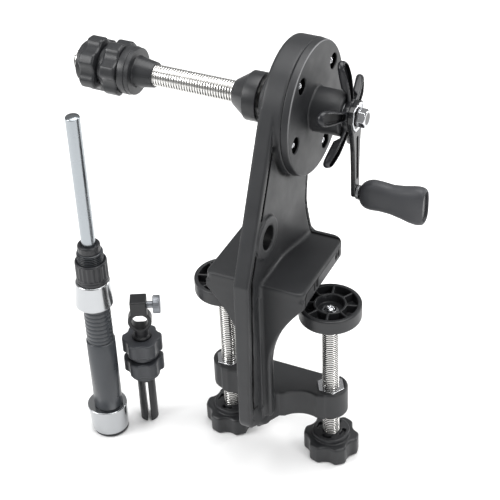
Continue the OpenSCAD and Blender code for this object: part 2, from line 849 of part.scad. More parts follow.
module left_pad_screw() {
  color("white") translate([-screw_x, 0, 0]) pad_screw();
}

module right_pad_screw() {
  color("white") translate([screw_x, 0, 0]) pad_screw();
}

// Lobed knob with a ring on top
module clamp_knob() {
  rotate(knob_phase) difference() {
    union() {
      translate([0, 0, knob_top - knob_ring_h - knob_h]) linear_extrude(height = knob_h)
        lobed(knob_d, lobes, lobe_depth, lobe_cut_r);
      translate([0, 0, knob_top - knob_ring_h]) cylinder(d = knob_ring_d, h = knob_ring_h);
    }
    translate([0, 0, knob_top - knob_ring_h - knob_h / 2]) cylinder(d = screw_d, h = knob_h + knob_ring_h);
  }
}

module left_clamp_knob() {
  color("#2b2c2e") translate([-screw_x, 0, 0]) clamp_knob();
}

module right_clamp_knob() {
  color("#2b2c2e") translate([screw_x, 0, 0]) clamp_knob();
}

// Rod handle, measured up from its foot
module at_handle(z) {
  translate([handle_x, handle_y, floor_z + z]) rotate(accessory_turn) children();
}

cap_t = 2.6;
cap_d = 26;
hood_h = 22;
hood_d = 27.5;
grip_body_h = 61.2;
barrel_d = seat_d - 1.4;
thread_d = seat_d - 2.2;
barrel_h = 32.8;
collar_h = 6;
collar_d = 16.2;
tube_inside = 60;
tube_travel = 80;
seat_bore_d = tube_d + 2 * run_gap;
grip_body_at = cap_t + hood_h;
barrel_at = grip_body_at + grip_body_h;
thread_at = barrel_at + barrel_h;
moving_hood_h = 20.4;
moving_hood_d = 25;
seat_nut_h = 17.6;
seat_nut_d = 22.8;
hood_step = 1.4;

// Tube that slides in the reel seat
module handle_tube() {
  color("lightgray") at_handle(seat_h - tube_inside) cylinder(d = tube_d, h = handle_h - seat_h + tube_inside);
}

// Collar that locks the tube
module locking_collar() {
  color("#1d1e20") at_handle(seat_h + face_gap / 2) ring(collar_d, seat_bore_d, collar_h);
}

// Body of the reel seat: grip, ribbed barrel and threaded end
module reel_seat() {
  color("#4a4c50") at_handle(cap_t) difference() {
    union() {
      cylinder(d = thread_d, h = seat_h - cap_t);
      translate([0, 0, hood_h]) cylinder(d = seat_d, h = grip_body_h);
      translate([0, 0, hood_h + grip_body_h - cut]) cylinder(d = barrel_d, h = barrel_h + cut);
    }
    translate([0, 0, seat_h - cap_t - tube_inside - tube_travel - face_gap])
      cylinder(d = seat_bore_d, h = seat_h);
  }
}

// Polished hood fixed at the foot, with a bulge that takes a reel's foot
module fixed_hood() {
  color("silver") at_handle(cap_t) difference() {
    union() {
      cylinder(d1 = hood_d - hood_step, d2 = hood_d - hood_step / 2, h = hood_h);
      translate([-hood_step, 0, 0]) cylinder(d1 = hood_d - 2 * hood_step, d2 = hood_d + hood_step, h = hood_h);
    }
    translate([0, 0, -cut]) cylinder(d = thread_d, h = hood_h + 2 * cut);
  }
}

module handle_end_cap() {
  color("#1d1e20") at_handle(0) cylinder(d = cap_d, h = cap_t);
}

// Hood that slides on the threaded end
module moving_hood() {
  color("silver") at_handle(thread_at + face_gap) difference() {
    union() {
      cylinder(d1 = moving_hood_d, d2 = moving_hood_d - hood_step, h = moving_hood_h);
      translate([-hood_step, 0, 0]) cylinder(d1 = moving_hood_d + hood_step, d2 = moving_hood_d - 2 * hood_step,
        h = moving_hood_h);
    }
    translate([0, 0, -cut]) cylinder(d = thread_d + 2 * run_gap, h = moving_hood_h + 2 * cut);
  }
}

// Fluted nut that drives the moving hood
module reel_seat_nut() {
  color("#2b2c2e") at_handle(thread_at + 2 * face_gap + moving_hood_h)
    ring(seat_nut_d, thread_d + 2 * run_gap, seat_nut_h);
}

// Adapter, measured up from its foot
module at_adapter(z) {
  translate([adapter_x, adapter_y, floor_z + z]) rotate(accessory_turn) children();
}

lower_nut_at = 43.5;
adapter_nut_gap = 1.2;
adapter_nut_t = 11.7;
adapter_collar_h = 5;
adapter_collar_d = 22.4;
upper_nut_at = lower_nut_at + adapter_nut_t + adapter_collar_h + adapter_nut_gap;
shank_h = upper_nut_at + adapter_nut_t + adapter_collar_h + 1.5 * adapter_nut_gap;
ring_drop = 19;
ring_at = adapter_h - ring_drop;
ring_d = 17.4;
ring_t = 8;
neck_w = 10.4;
block_w = 12;
slot_w = 2.6;
slot_h = 38.5;
thumb_at = adapter_h - block_w / 2;
thumb_d = 5;
thumb_head_d = 13.4;
thumb_head_t = 5.4;
thumb_shank = 4.4;
lobe_share = 0.22;

// Split shank, ring for the rod and block for the thumbscrew
module adapter_body() {
  color("#2b2c2e") difference() {
    union() {
      at_adapter(0) cylinder(d = shank_d, h = shank_h);
      at_adapter(shank_h - cut) cylinder(d = neck_w, h = ring_at - shank_h - ring_bore_d / 2);
      at_adapter(ring_at) rotate([90, 0, 0]) cylinder(d = ring_d, h = ring_t, center = true);
      at_adapter(adapter_h - block_w) translate([-block_w / 2, -block_w / 2, 0]) cube([block_w, block_w, block_w]);
    }
    at_adapter(ring_at) rotate([90, 0, 0]) cylinder(d = ring_bore_d, h = 2 * ring_t, center = true);
    at_adapter(-cut) translate([-slot_w / 2, -shank_d, 0]) cube([slot_w, 2 * shank_d, slot_h + cut]);
    at_adapter(thumb_at) rotate([0, 90, 0]) cylinder(d = thumb_d + 2 * run_gap, h = block_w);
  }
}

// Thumbscrew in the block
module thumbscrew() {
  color("gray") at_adapter(thumb_at) {
    translate([face_gap, 0, 0]) rotate([0, 90, 0])
      cylinder(d = thumb_d, h = block_w / 2 + thumb_shank);
    translate([block_w / 2 + thumb_shank - face_gap, 0, 0]) rotate([0, 90, 0])
      cylinder(d = thumb_head_d, h = thumb_head_t);
  }
}

// Lobed nut with its collar underneath
module adapter_nut() {
  difference() {
    union() {
      translate([0, 0, adapter_collar_h]) linear_extrude(height = adapter_nut_t)
        lobed(adapter_nut_d, lobes, lobe_depth * adapter_nut_d / knob_d, adapter_nut_d * lobe_share);
      cylinder(d = adapter_collar_d, h = adapter_collar_h + adapter_nut_t / 2);
    }
    translate([0, 0, -cut]) cylinder(d = shank_d + 2 * run_gap, h = adapter_nut_t + adapter_collar_h + 2 * cut);
  }
}

module adapter_upper_nut() {
  color("#4a4e54") at_adapter(upper_nut_at) adapter_nut();
}

module adapter_lower_nut() {
  color("#4a4e54") at_adapter(lower_nut_at) adapter_nut();
}

stand();
head_cover();
cover_screws();
spool_side_bearing();
friction_washers();
pressure_plate();
clamp_nuts();
spindle_shaft();
drag_disc();
inner_cone();
crank_arm();
crank_retainer();
crank_nut();
knob_pin();
spring_washers();
star_wheel();
crank_knob();
knob_end_cap();
outer_cone();
cone_nut();
lock_nut();
left_pad();
right_pad();
left_clamp_screw();
right_clamp_screw();
left_clamp_knob();
right_clamp_knob();
left_pad_screw();
right_pad_screw();
handle_tube();
locking_collar();
reel_seat();
fixed_hood();
handle_end_cap();
moving_hood();
reel_seat_nut();
adapter_body();
thumbscrew();
adapter_upper_nut();
adapter_lower_nut();
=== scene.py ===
"""Looks of a table-clamp winder for fishing reels, with its rod handle and rod adapter.

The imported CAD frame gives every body, and each visible piece is rebuilt here as a moulded, turned or
threaded surface that rides on its body. Sizes are in millimetres in the frame's own axes: X along the
spindle towards the crank, Y away from the user, Z up, with the origin on the jaw's table face.
"""

from __future__ import annotations

import json
import logging
import math
from dataclasses import dataclass, field
from enum import Enum
from typing import Callable, Sequence

import bpy
import numpy as np
from mathutils import Matrix, Vector

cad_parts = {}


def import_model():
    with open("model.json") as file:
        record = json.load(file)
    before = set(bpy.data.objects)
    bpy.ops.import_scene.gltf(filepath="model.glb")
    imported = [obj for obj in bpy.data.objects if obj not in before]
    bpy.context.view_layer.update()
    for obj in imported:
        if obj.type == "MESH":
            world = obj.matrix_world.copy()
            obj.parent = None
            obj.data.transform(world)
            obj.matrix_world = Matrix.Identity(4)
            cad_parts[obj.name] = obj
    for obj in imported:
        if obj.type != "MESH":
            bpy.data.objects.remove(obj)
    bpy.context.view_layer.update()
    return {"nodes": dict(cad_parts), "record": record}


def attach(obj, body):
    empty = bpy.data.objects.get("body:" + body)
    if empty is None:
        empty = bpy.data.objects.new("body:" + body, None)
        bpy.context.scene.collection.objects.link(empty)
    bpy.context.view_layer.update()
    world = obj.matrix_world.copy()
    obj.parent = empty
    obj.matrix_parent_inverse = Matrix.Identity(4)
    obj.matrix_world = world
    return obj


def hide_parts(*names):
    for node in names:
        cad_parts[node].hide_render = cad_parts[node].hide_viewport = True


LOG = logging.getLogger("winder")
MM = 0.001
TURN = 2 * math.pi
# Bore of every piece that sits on the rod
ROD_BORE = 7.55
# Meshing: margin and probe in cells, least squared slope, share of each Newton step and their number
MARGIN, PROBE, FLATTEST, RELAX, NEWTON_STEPS = 1.7, 0.02, 0.25, 0.9, 3
Array = np.ndarray
Point = tuple[Array, Array, Array]
Distance = Callable[[Point], Array]
Pair = tuple[float, float]
Triple = tuple[float, float, float]
Pairs = Sequence[Pair]
Rib = Callable[[Array, Array], Array]


# Distance fields: every one gives a signed distance in millimetres, negative inside


def fillet(a: Array, b: Array, r: float | Array) -> Array:
    """Union of two solids with a fillet of radius r where they meet.

    Args:
        a: Signed distance to the first solid.
        b: Signed distance to the second solid.
        r: Fillet radius.

    Returns:
        max(r, min(a, b)) - hypot(max(r - a, 0), max(r - b, 0)).
    """
    return np.maximum(r, np.minimum(a, b)) - np.hypot(np.maximum(r - a, 0), np.maximum(r - b, 0))


def both(a: Array, b: Array, r: float = 0.0) -> Array:
    """Intersection of two solids whose shared edge is rounded by r: minus the fillet of -a and -b."""
    return np.maximum(a, b) if r <= 0 else -fillet(-a, -b, r)


def cut(a: Array, b: Array, r: float = 0.0) -> Array:
    """First solid less the second, with the edge rounded by r."""
    return both(a, -b, r)


def span(x: Array, lo: float, hi: float) -> Array:
    """Signed distance to the slab lo <= x <= hi: |x - middle| - half width."""
    return np.abs(x - (lo + hi) / 2) - (hi - lo) / 2


def ramp(t: Array) -> Array:
    """Values held between 0 and 1."""
    return np.clip(t, 0, 1)


def smooth(t: Array) -> Array:
    """Cubic step from 0 to 1: 3t^2 - 2t^3."""
    t = ramp(t)
    return t * t * (3 - 2 * t)


def fold(u: Array, v: Array, count: int, phase: float = 0.0) -> Point:
    """Folds the plane into one of several equal sectors about the origin.

    Args:
        u: First coordinate.
        v: Second coordinate.
        count: Number of sectors.
        phase: Direction of a sector's middle, in radians.

    Returns:
        rho * cos(a) along the sector's middle, rho * sin(a) across it, and rho.
    """
    step, rho = TURN / count, np.hypot(u, v)
    a = np.mod(np.arctan2(v, u) - phase + step / 2, step) - step / 2
    return rho * np.cos(a), rho * np.sin(a), rho


def polygon(u: Array, v: Array, points: Pairs) -> Array:
    """Signed distance to a closed flat outline.

    Args:
        u: First coordinate.
        v: Second coordinate.
        points: Corners in order.

    Returns:
        Distance to the nearest edge, negative inside by the even-odd rule.
    """
    pts, tiny = np.asarray(points, float), 1e-12
    best, inside = np.inf, np.False_
    for (ax, ay), (bx, by) in zip(pts, np.roll(pts, -1, axis=0)):
        ex, ey = bx - ax, by - ay
        t = ramp(((u - ax) * ex + (v - ay) * ey) / (ex * ex + ey * ey + tiny))
        best = np.minimum(best, (u - ax - t * ex) ** 2 + (v - ay - t * ey) ** 2)
        slope = ex / (ey if abs(ey) > tiny else tiny)
        inside = inside ^ (((ay > v) != (by > v)) & (u < slope * (v - ay) + ax))
    return np.where(inside, -1.0, 1.0) * np.sqrt(best)


def rounded_rect(u: Array, v: Array, hu: float, hv: float, r: float) -> Array:
    """Signed distance to a rectangle with rounded corners about the origin.

    Args:
        u: First coordinate.
        v: Second coordinate.
        hu: Half size along u.
        hv: Half size along v.
        r: Corner radius.

    Returns:
        The distance to the rectangle shrunk by r, less r.
    """
    a, b = np.abs(u) - hu + r, np.abs(v) - hv + r
    return np.hypot(np.maximum(a, 0), np.maximum(b, 0)) + np.minimum(np.maximum(a, b), 0) - r


def cross(u: Array, v: Array, half: float, reach: float) -> Array:
    """Signed distance to a cross recess whose arms are 2 * half wide and reach out to reach."""
    a, b = np.abs(u), np.abs(v)
    return np.minimum(np.maximum(a - half, b - reach), np.maximum(b - half, a - reach))


def thread_wave(z: Array, angle: Array, pitch: float, slope: float, flat: float) -> Array:
    """Depth share of a right-handed thread: |2 * phase - 1| * slope - flat, held between 0 and 1.

    Args:
        z: Heights.
        angle: Angles about the axis.
        pitch: Pitch of the thread.
        slope: Steepness of its flanks.
        flat: Width of its crests, in the same measure.

    Returns:
        0 on the crests and 1 at the bottom, with phase = z / pitch - angle / 2pi.
    """
    return ramp(np.abs(np.mod(z / pitch - angle / TURN, 1) * 2 - 1) * slope - flat)


@dataclass(frozen=True)
class Lobed:
    """A grip with six lobes about the local Z axis, and the collar of a nut; phase is in degrees."""

    r: float
    depth: float
    scoop: float
    soft: float
    low: float
    high: float
    edge: float
    phase: float = 0.0

    def grip(self, p: Point) -> Array:
        """A round slab less the folded scoops between its lobes.

        Args:
            p: The point.

        Returns:
            Signed distance.
        """
        along, across, rho = fold(p[0], p[1], 6, math.radians(self.phase) + TURN / 12)
        hollow = np.hypot(along - (self.r + self.scoop - self.depth), across) - self.scoop
        return both(cut(rho - self.r, hollow, self.soft), span(p[2], self.low, self.high), self.edge)

    def nut(self, collar: tuple[float, ...], joint: float, bore: Pair) -> Distance:
        """The grip as a nut with a collar.

        Args:
            collar: Radius, foot, top and rounding of the collar.
            joint: Fillet between the collar and the grip.
            bore: Radius and rounding of the bore.

        Returns:
            The distance field.
        """
        wide, foot, top, soft = collar

        def shape(p: Point) -> Array:
            """The whole nut.

            Args:
                p: The point.

            Returns:
                Signed distance.
            """
            rho = np.hypot(p[0], p[1])
            body = fillet(self.grip(p), both(rho - wide, span(p[2], foot, top), soft), joint)
            return cut(body, rho - bore[0], bore[1])

        return shape


# Meshes


def linked(name: str, data: bpy.types.ID) -> bpy.types.Object:
    """Makes an object and links it to the scene.

    Args:
        name: Its name.
        data: Its mesh, light or camera.

    Returns:
        The object.
    """
    obj = bpy.data.objects.new(name, data)
    bpy.context.scene.collection.objects.link(obj)
    return obj


@dataclass
class Surface:
    """A polygon mesh in millimetres; groove is each vertex's share of painted shade, negative where a painted
    highlight goes on an edge.
    """

    verts: Array
    quads: Array
    tris: Array = field(default_factory=lambda: np.zeros((0, 3), int))
    groove: Array | None = None

    def moved(self, matrix: Matrix) -> Surface:
        """The same surface under a 4x4 matrix in millimetres."""
        m = np.array(matrix)
        return Surface(self.verts @ m[:3, :3].T + m[:3, 3], self.quads, self.tris, self.groove)

    def with_painted_light(self, share: Distance) -> Surface:
        """Sets each vertex's painted shade, or painted highlight where negative, from a function of its
        place, and gives the surface itself.
        """
        self.groove = share(tuple(self.verts.T))
        return self

    def make(self, name: str) -> bpy.types.Object:
        """Builds the Blender object, smooth shaded and linked to the scene.

        Args:
            name: Name of the object and mesh.

        Returns:
            The object.
        """
        mesh = bpy.data.meshes.new(name)
        mesh.from_pydata(self.verts * MM, [], self.quads.tolist() + self.tris.tolist())
        mesh.shade_smooth()
        # The groove attribute carries the painted shade and the painted highlight to the material
        if self.groove is not None:
            share = mesh.attributes.new("groove", "FLOAT", "POINT")
            share.data.foreach_set("value", self.groove.astype(np.float32))
        mesh.validate()
        return linked(name, mesh)


def net(shape: Distance, lo: Sequence[float], hi: Sequence[float], cell: float) -> Surface:
    """Meshes the zero level of a distance field.

    One vertex is put in every grid cell that the surface crosses, at the mean of the crossings on the
    cell's edges, then moved onto the surface by Newton steps along the gradient. Each grid edge that
    crosses the surface gives one quad between the four cells round it.

    Args:
        shape: The distance field.
        lo: Lowest corner of the space it fills.
        hi: Highest corner.
        cell: Grid spacing.

    Returns:
        The closed surface, facing outwards.
    """
    lo = np.asarray(lo, float) - MARGIN * cell
    axes = [np.arange(a, b + (MARGIN + 1) * cell, cell) for a, b in zip(lo, hi)]
    full = tuple(len(a) for a in axes)
    val = np.broadcast_to(shape(tuple(np.meshgrid(*axes, indexing="ij", sparse=True))), full)
    val = val.astype(np.float32)
    n = tuple(s - 1 for s in full)
    total, count, hits = np.zeros(n + (3,), np.float32), np.zeros(n, np.float32), []
    for ax in range(3):
        v, near = np.moveaxis(val, ax, 0), np.moveaxis(count, ax, 0)
        hit = (v[:-1] < 0) != (v[1:] < 0)
        hits.append(hit)
        t = np.where(hit, v[:-1] / np.where(hit, v[:-1] - v[1:], 1), 0)
        p, q = (i for i in range(3) if i != ax)
        sums = [np.moveaxis(total[..., i], ax, 0) for i in (ax, p, q)]
        for i, j in ((0, 0), (0, 1), (1, 0), (1, 1)):
            side = (slice(None), slice(i, i + n[p]), slice(j, j + n[q]))
            near += hit[side]
            for own, share in zip(sums, (t[side], i, j)):
                own += hit[side] * share
    used = count > 0
    index = np.full(n, -1, np.int64)
    index[used] = np.arange(int(used.sum()))
    verts = lo + cell * (np.argwhere(used) + total[used] / count[used][:, None])
    quads = []
    for ax, hit in enumerate(hits):
        a, b, c = np.argwhere(hit[:, 1:-1, 1:-1]).T
        b, c = b + 1, c + 1
        cells, start = np.moveaxis(index, ax, 0), np.moveaxis(val, ax, 0)[a, b, c]
        quad = np.stack([cells[a, b - i, c - j] for i, j in ((1, 1), (0, 1), (0, 0), (1, 0))], 1)
        turn = (start < 0) ^ (ax == 1)
        quad[~turn] = quad[~turn][:, ::-1]
        quads.append(quad)
    e = cell * PROBE
    for _ in range(NEWTON_STEPS):
        f = shape(tuple(verts.T))
        slopes = [shape(tuple((verts + d).T)) - shape(tuple((verts - d).T)) for d in np.eye(3) * e]
        grad = np.stack(slopes, 1) / (2 * e)
        size = np.maximum((grad**2).sum(1), FLATTEST)
        verts = verts - RELAX * np.clip(f / size, -cell, cell)[:, None] * grad
    return Surface(verts, np.vstack(quads))


def tube_grid(radius: Array, station: Array, angle: Array, ring: bool = False) -> Surface:
    """Skins a grid of radii about the local Z axis.

    Args:
        radius: Radii, one row per station and one column per angle.
        station: Height of each grid point, the same shape.
        angle: Angle of each column.
        ring: True joins the last row to the first; False closes both ends with fans.

    Returns:
        The closed surface along +Z.
    """
    rows, cols = radius.shape
    verts = np.stack([radius * np.cos(angle), radius * np.sin(angle), station], -1).reshape(-1, 3)
    i = np.arange(rows if ring else rows - 1)[:, None]
    up = (i + 1) % rows * cols
    i = i * cols
    j = np.arange(cols)[None, :]
    k = (j + 1) % cols
    quads = np.stack([i + j, i + k, up + k, up + j], -1).reshape(-1, 4)
    if ring:
        return Surface(verts, quads)
    ends = np.array([[0, 0, station[0].mean()], [0, 0, station[-1].mean()]])
    low, high = np.full((2, cols), len(verts)) + [[0], [1]]
    j, k, top = j.ravel(), k.ravel(), (rows - 1) * cols
    tris = np.vstack([np.stack([low, k, j], 1), np.stack([high, top + j, top + k], 1)])
    return Surface(np.vstack([verts, ends]), quads, tris)


def turned(
    profile: Pairs,
    cols: int = 72,
    soft: float = 0.35,
    rib: Rib | None = None,
    bore: float = 0.0,
) -> Surface:
    """Turns a profile about the local Z axis; each corner is rounded by a quadratic curve.

    Args:
        profile: Radius and height of each corner, going up.
        cols: Number of columns round.
        soft: How far from each corner its rounding starts.
        rib: Optional function of angle and height that gives an added radius outside the bore.
        bore: Radius of a bore right through, or 0 for none.

    Returns:
        The closed surface.
    """
    pts = np.asarray(profile, float)
    if bore > 0:
        pts = np.vstack([[bore, pts[:, 1].min()], pts, [bore, pts[:, 1].max()]])
    out = [pts[0]]
    for p, c, q in zip(pts[:-2], pts[1:-1], pts[2:]):
        u, v = p - c, q - c
        lu, lv = max(np.hypot(*u), 1e-9), max(np.hypot(*v), 1e-9)
        s = min(soft, lu * 0.45, lv * 0.45)
        a, b = c + u / lu * s, c + v / lv * s
        out += [(1 - t) ** 2 * a + 2 * t * (1 - t) * c + t * t * b for t in (0.0, 0.25, 0.5, 0.75, 1.0)]
    out.append(pts[-1])
    prof = np.array(out)
    angle = np.linspace(0, TURN, cols, endpoint=False)[None, :]
    rad, high = np.repeat(prof[:, :1], cols, 1), np.repeat(prof[:, 1:], cols, 1)
    if rib is not None:
        rad = np.where(rad > bore + 0.02, rad + rib(angle, high), rad)
    return tube_grid(rad, high, angle, bore > 0)


def ribs(count: int, depth: float, lo: float, hi: float, sharp: float = 1.0) -> Rib:
    """Lengthwise flutes round a turned piece.

    Args:
        count: Number of flutes.
        depth: Depth of each.
        lo: Height where they begin.
        hi: Height where they end.
        sharp: Above 1 narrows the flutes.

    Returns:
        A function of angle and height: -depth * ((1 + cos(count * angle)) / 2) ** sharp between lo and hi.
    """

    def rib(angle: Array, z: Array) -> Array:
        """Added radius at an angle and a height."""
        inside = ramp(np.minimum(z - lo, hi - z) / depth)
        return -depth * inside * ((1 + np.cos(count * angle)) / 2) ** sharp

    return rib


@dataclass(frozen=True)
class Thread:
    """A rod with a right-handed thread of flat crests along the local Z axis."""

    crest: float
    pitch: float
    depth: float
    length: float
    cols: int
    rows_per_pitch: int
    # Strength of the painted shade in the thread's roots
    painted_shade: float = 1.0
    slope: float = 2.2
    flat: float = 0.95

    def surface(self, tail: Pairs = ()) -> Surface:
        """Skins the rod, r = crest - depth * wave, from a chamfered end at 0.

        Args:
            tail: Radius and height of each corner of the plain part beyond the thread.

        Returns:
            The closed surface, with painted shade at the thread's bottom.
        """
        z = np.linspace(0, self.length, int(self.length / self.pitch * self.rows_per_pitch) + 2)
        angle = np.linspace(0, TURN, self.cols, endpoint=False)[None, :]
        fade = ramp((self.length - z) / self.pitch) if len(tail) else np.ones_like(z)
        wave = thread_wave(z[:, None], angle, self.pitch, self.slope, self.flat) * fade[:, None]
        chamfer = self.crest - self.depth * 1.2 * (1 - ramp(z / (self.depth * 1.5)))
        rad = np.minimum(self.crest - self.depth * wave, chamfer[:, None])
        if len(tail):
            more = np.asarray(tail, float)
            rad = np.vstack([rad, np.repeat(more[:, :1], self.cols, 1)])
            z = np.concatenate([z, more[:, 1]])
        rod = tube_grid(rad, np.repeat(z[:, None], self.cols, 1), angle)
        rod.groove = np.zeros(len(rod.verts))
        rod.groove[: wave.size] = self.painted_shade * np.sqrt(wave.ravel())
        return rod


def laid(x: float, y: float, z: float) -> Matrix:
    """Placement of a piece whose local Z runs along the spindle and whose local X points down."""
    return Matrix.Translation((x, y, z)) @ Matrix.Rotation(math.pi / 2, 4, "Y")


def upright(x: float, y: float, z: float, turn: float = 0.0) -> Matrix:
    """Placement of a piece that stands upright, turned about the vertical by degrees."""
    return Matrix.Translation((x, y, z)) @ Matrix.Rotation(math.radians(turn), 4, "Z")


# Finishes


def linear(code: str) -> tuple[float, ...]:
    """Turns an sRGB hex colour into linear red, green, blue and 1."""
    parts = [int(code[i : i + 2], 16) / 255 for i in (0, 2, 4)]
    return tuple(c / 12.92 if c <= 0.04045 else ((c + 0.055) / 1.055) ** 2.4 for c in parts) + (1.0,)


def shaded(base: tuple[float, ...], share: float) -> tuple[float, ...]:
    """A linear colour made lighter or darker by a share, at most white."""
    return tuple(min(1.0, c * share) for c in base[:3]) + (1.0,)


def add(tree: bpy.types.NodeTree, kind: str, **values: object) -> bpy.types.Node:
    """Adds one shader node, sets its inputs and links those given as sockets.

    Args:
        tree: The node tree.
        kind: Type of the node, without ShaderNode.
        values: Properties by name, inputs by name with spaces as underscores, or i with an input's number.

    Returns:
        The node.
    """
    node = tree.nodes.new("ShaderNode" + kind)
    for key, value in values.items():
        if hasattr(node, key):
            setattr(node, key, value)
            continue
        socket = node.inputs[int(key[1:]) if key[1:].isdigit() else key.replace("_", " ")]
        if isinstance(value, bpy.types.NodeSocket):
            tree.links.new(value, socket)
        else:
            socket.default_value = value
    return node


def cleared(owner: bpy.types.Material | bpy.types.World) -> bpy.types.NodeTree:
    """Switches nodes on and empties their tree.

    Args:
        owner: A material or a world.

    Returns:
        The tree.
    """
    owner.use_nodes = True
    owner.node_tree.nodes.clear()
    return owner.node_tree


class Making(Enum):
    """How a surface was made, which decides its fine structure."""

    MOULDED = "moulded plastic with a fine eroded grain"
    CAST = "smooth moulded plastic"
    RUBBER = "soft matt rubber"
    PLATED = "plated steel"
    TURNED = "turned metal with fine circular marks"
    FIBRE = "pressed friction fibre"


@dataclass(frozen=True)
class Finish:
    """A material: its colour, its optics and the scale of its grain in millimetres."""

    name: str
    slot: str
    colour: str
    making: Making
    rough: float
    metal: float = 0.0
    ior: float = 1.46
    grain: float = 0.7
    depth: float = 0.02
    mottle: float = 0.12

    BLOTCH = 14.0
    # Colour of the painted highlight on edges; then how dark painted shade makes the colour, and how far it
    # dims the reflection
    PAINTED_HIGHLIGHT = "8c8c8e"
    PAINTED_SHADE_COLOUR = 0.06
    PAINTED_SHADE_GLOSS = 0.46

    def build(self) -> bpy.types.Material:
        """Builds the node tree: two noises, painted shade from the groove attribute and a painted highlight
        where that attribute is negative.

        Returns:
            The material.
        """
        mat = bpy.data.materials.new(self.name)
        tree = cleared(mat)
        place = add(tree, "TexCoord").outputs["Object"]
        if self.making is Making.TURNED:
            place = add(tree, "Mapping", Vector=place, Scale=(0.15, 0.15, 1.0)).outputs[0]
        fine = add(tree, "TexNoise", Vector=place, Scale=1000 / self.grain, Detail=3.0).outputs[0]
        broad = add(tree, "TexNoise", Vector=place, Scale=1000 / self.BLOTCH, Detail=4.0).outputs[0]
        # Painted shade from the groove attribute darkens the colour and dims the reflection; where negative
        # it paints a pale highlight
        painted_shade = add(tree, "Attribute", attribute_name="groove").outputs["Fac"]
        painted_highlight = add(tree, "Math", operation="MULTIPLY", use_clamp=True, i0=painted_shade, i1=-1.0).outputs[0]
        base = linear(self.colour)
        colour = shaded(base, 1 - self.mottle)
        # Random tone first, then painted shade, then the painted highlight
        for share, other in (
            (broad, shaded(base, 1 + self.mottle)),
            (painted_shade, shaded(base, self.PAINTED_SHADE_COLOUR)),
            (painted_highlight, linear(self.PAINTED_HIGHLIGHT)),
        ):
            colour = add(tree, "Mix", data_type="RGBA", i0=share, i6=colour, i7=other).outputs[2]
        low, high = self.rough * 0.88, min(1.0, self.rough * 1.12)
        rough = add(tree, "MapRange", Value=broad, i1=0.3, i2=0.7, i3=low, i4=high).outputs[0]
        bump = add(tree, "Bump", Height=fine, Strength=0.5, Distance=self.depth * MM).outputs[0]
        level = add(tree, "Math", operation="MULTIPLY_ADD", i0=painted_shade, i1=-self.PAINTED_SHADE_GLOSS, i2=0.5)
        shader = add(
            tree, "BsdfPrincipled", Base_Color=colour, Roughness=rough, Normal=bump, Metallic=self.metal,
            Specular_IOR_Level=level.outputs[0], IOR=self.ior,
        )
        add(tree, "OutputMaterial", Surface=shader.outputs[0])
        return mat


class Looks:
    """All finishes of the object, built when first asked for."""

    LIST = (
        # Black moulded plastic of the stand, with a fine eroded grain
        Finish("moulded_black", "moulded_black", "252628", Making.MOULDED, 0.46, grain=0.5, depth=0.03),
        # Smoother black moulding of the cover
        Finish("cover_moulded_black", "cover_black", "242527", Making.CAST, 0.47, grain=0.8, depth=0.015),
        # Black moulding of pads, cones, nuts and knobs
        Finish("small_parts_moulded_black", "pad_black", "262729", Making.CAST, 0.38),
        # Zinc-plated rolled thread
        Finish("zinc_plated_steel", "rod_steel", "e8e7e4", Making.PLATED, 0.22, 1.0, 2.5, 1.5, 0.01, 0.05),
        # Bright nickel plate
        Finish(
            "nickel_plated_steel", "plated_steel", "cfd0d3", Making.PLATED, 0.16, 1.0, 2.5, 2.0, 0.01, 0.03
        ),
        # Plain steel inside
        Finish("plain_steel", "hidden_steel", "9a9b9d", Making.TURNED, 0.35, 1.0, 2.5, 0.8, 0.01, 0.06),
        # Pressed fibre washers
        Finish("pressed_fibre", "friction_composite", "4a4640", Making.FIBRE, 0.8, grain=0.4, depth=0.05),
        # Graphite-filled moulding of the star wheel
        Finish("star_moulded_graphite", "star_graphite", "202124", Making.CAST, 0.28, grain=0.8, depth=0.01),
        # Gloss black crank
        Finish("crank_gloss_black", "crank_black", "1d1e20", Making.CAST, 0.22, grain=1.0, depth=0.01),
        # Soft rubber of the crank's knob
        Finish("knob_soft_rubber", "grip_rubber", "37383b", Making.RUBBER, 0.5, grain=0.35, depth=0.05),
        # Polished tube
        Finish("polished_tube", "tube_alloy", "9fa4a8", Making.TURNED, 0.25, 1.0, 2.5, 0.8, 0.01, 0.03),
        # Dark graphite moulding of the reel seat
        Finish("seat_moulded_graphite", "seat_graphite", "3b3e42", Making.CAST, 0.3),
        # Black moulding on the handle
        Finish("seat_moulded_black", "seat_black", "232427", Making.CAST, 0.4),
        # Polished cups
        Finish("polished_hood", "hood_steel", "b2b4b6", Making.PLATED, 0.2, 1.0, 2.5, 2.0, 0.01, 0.03),
        # Black moulding of the adapter
        Finish("adapter_moulded_black", "adapter_black", "1b1c1e", Making.CAST, 0.4),
        # Grey moulding of the adapter's nuts
        Finish("adapter_nut_moulded_grey", "adapter_nut_grey", "37393d", Making.CAST, 0.42),
        # Grey metal thumbscrew
        Finish("thumb_turned_grey", "thumb_grey", "84878c", Making.TURNED, 0.4, 0.8, 2.0, 0.8, 0.01, 0.05),
    )

    def __init__(self, record: dict) -> None:
        """Prepares the tables of finishes by slot and of slots by node.

        Args:
            record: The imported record.
        """
        self.by_slot = {f.slot: f for f in self.LIST}
        self.slot_of = {p["node"]: p["material_slot"] for p in record["subparts"]}
        self.made: dict[str, bpy.types.Material] = {}

    def dress(self, obj: bpy.types.Object, node: str) -> None:
        """Gives an object the material of a node's slot.

        Args:
            obj: The object.
            node: Name of the CAD node.
        """
        slot = self.slot_of[node]
        if slot not in self.made:
            self.made[slot] = self.by_slot[slot].build()
        obj.data.materials.clear()
        obj.data.materials.append(self.made[slot])
        LOG.info("%s: %s", obj.name, self.by_slot[slot].name)


# Sub-assemblies; a shape's p is its X, Y and Z in the frame, or in the local axes that its docstring names


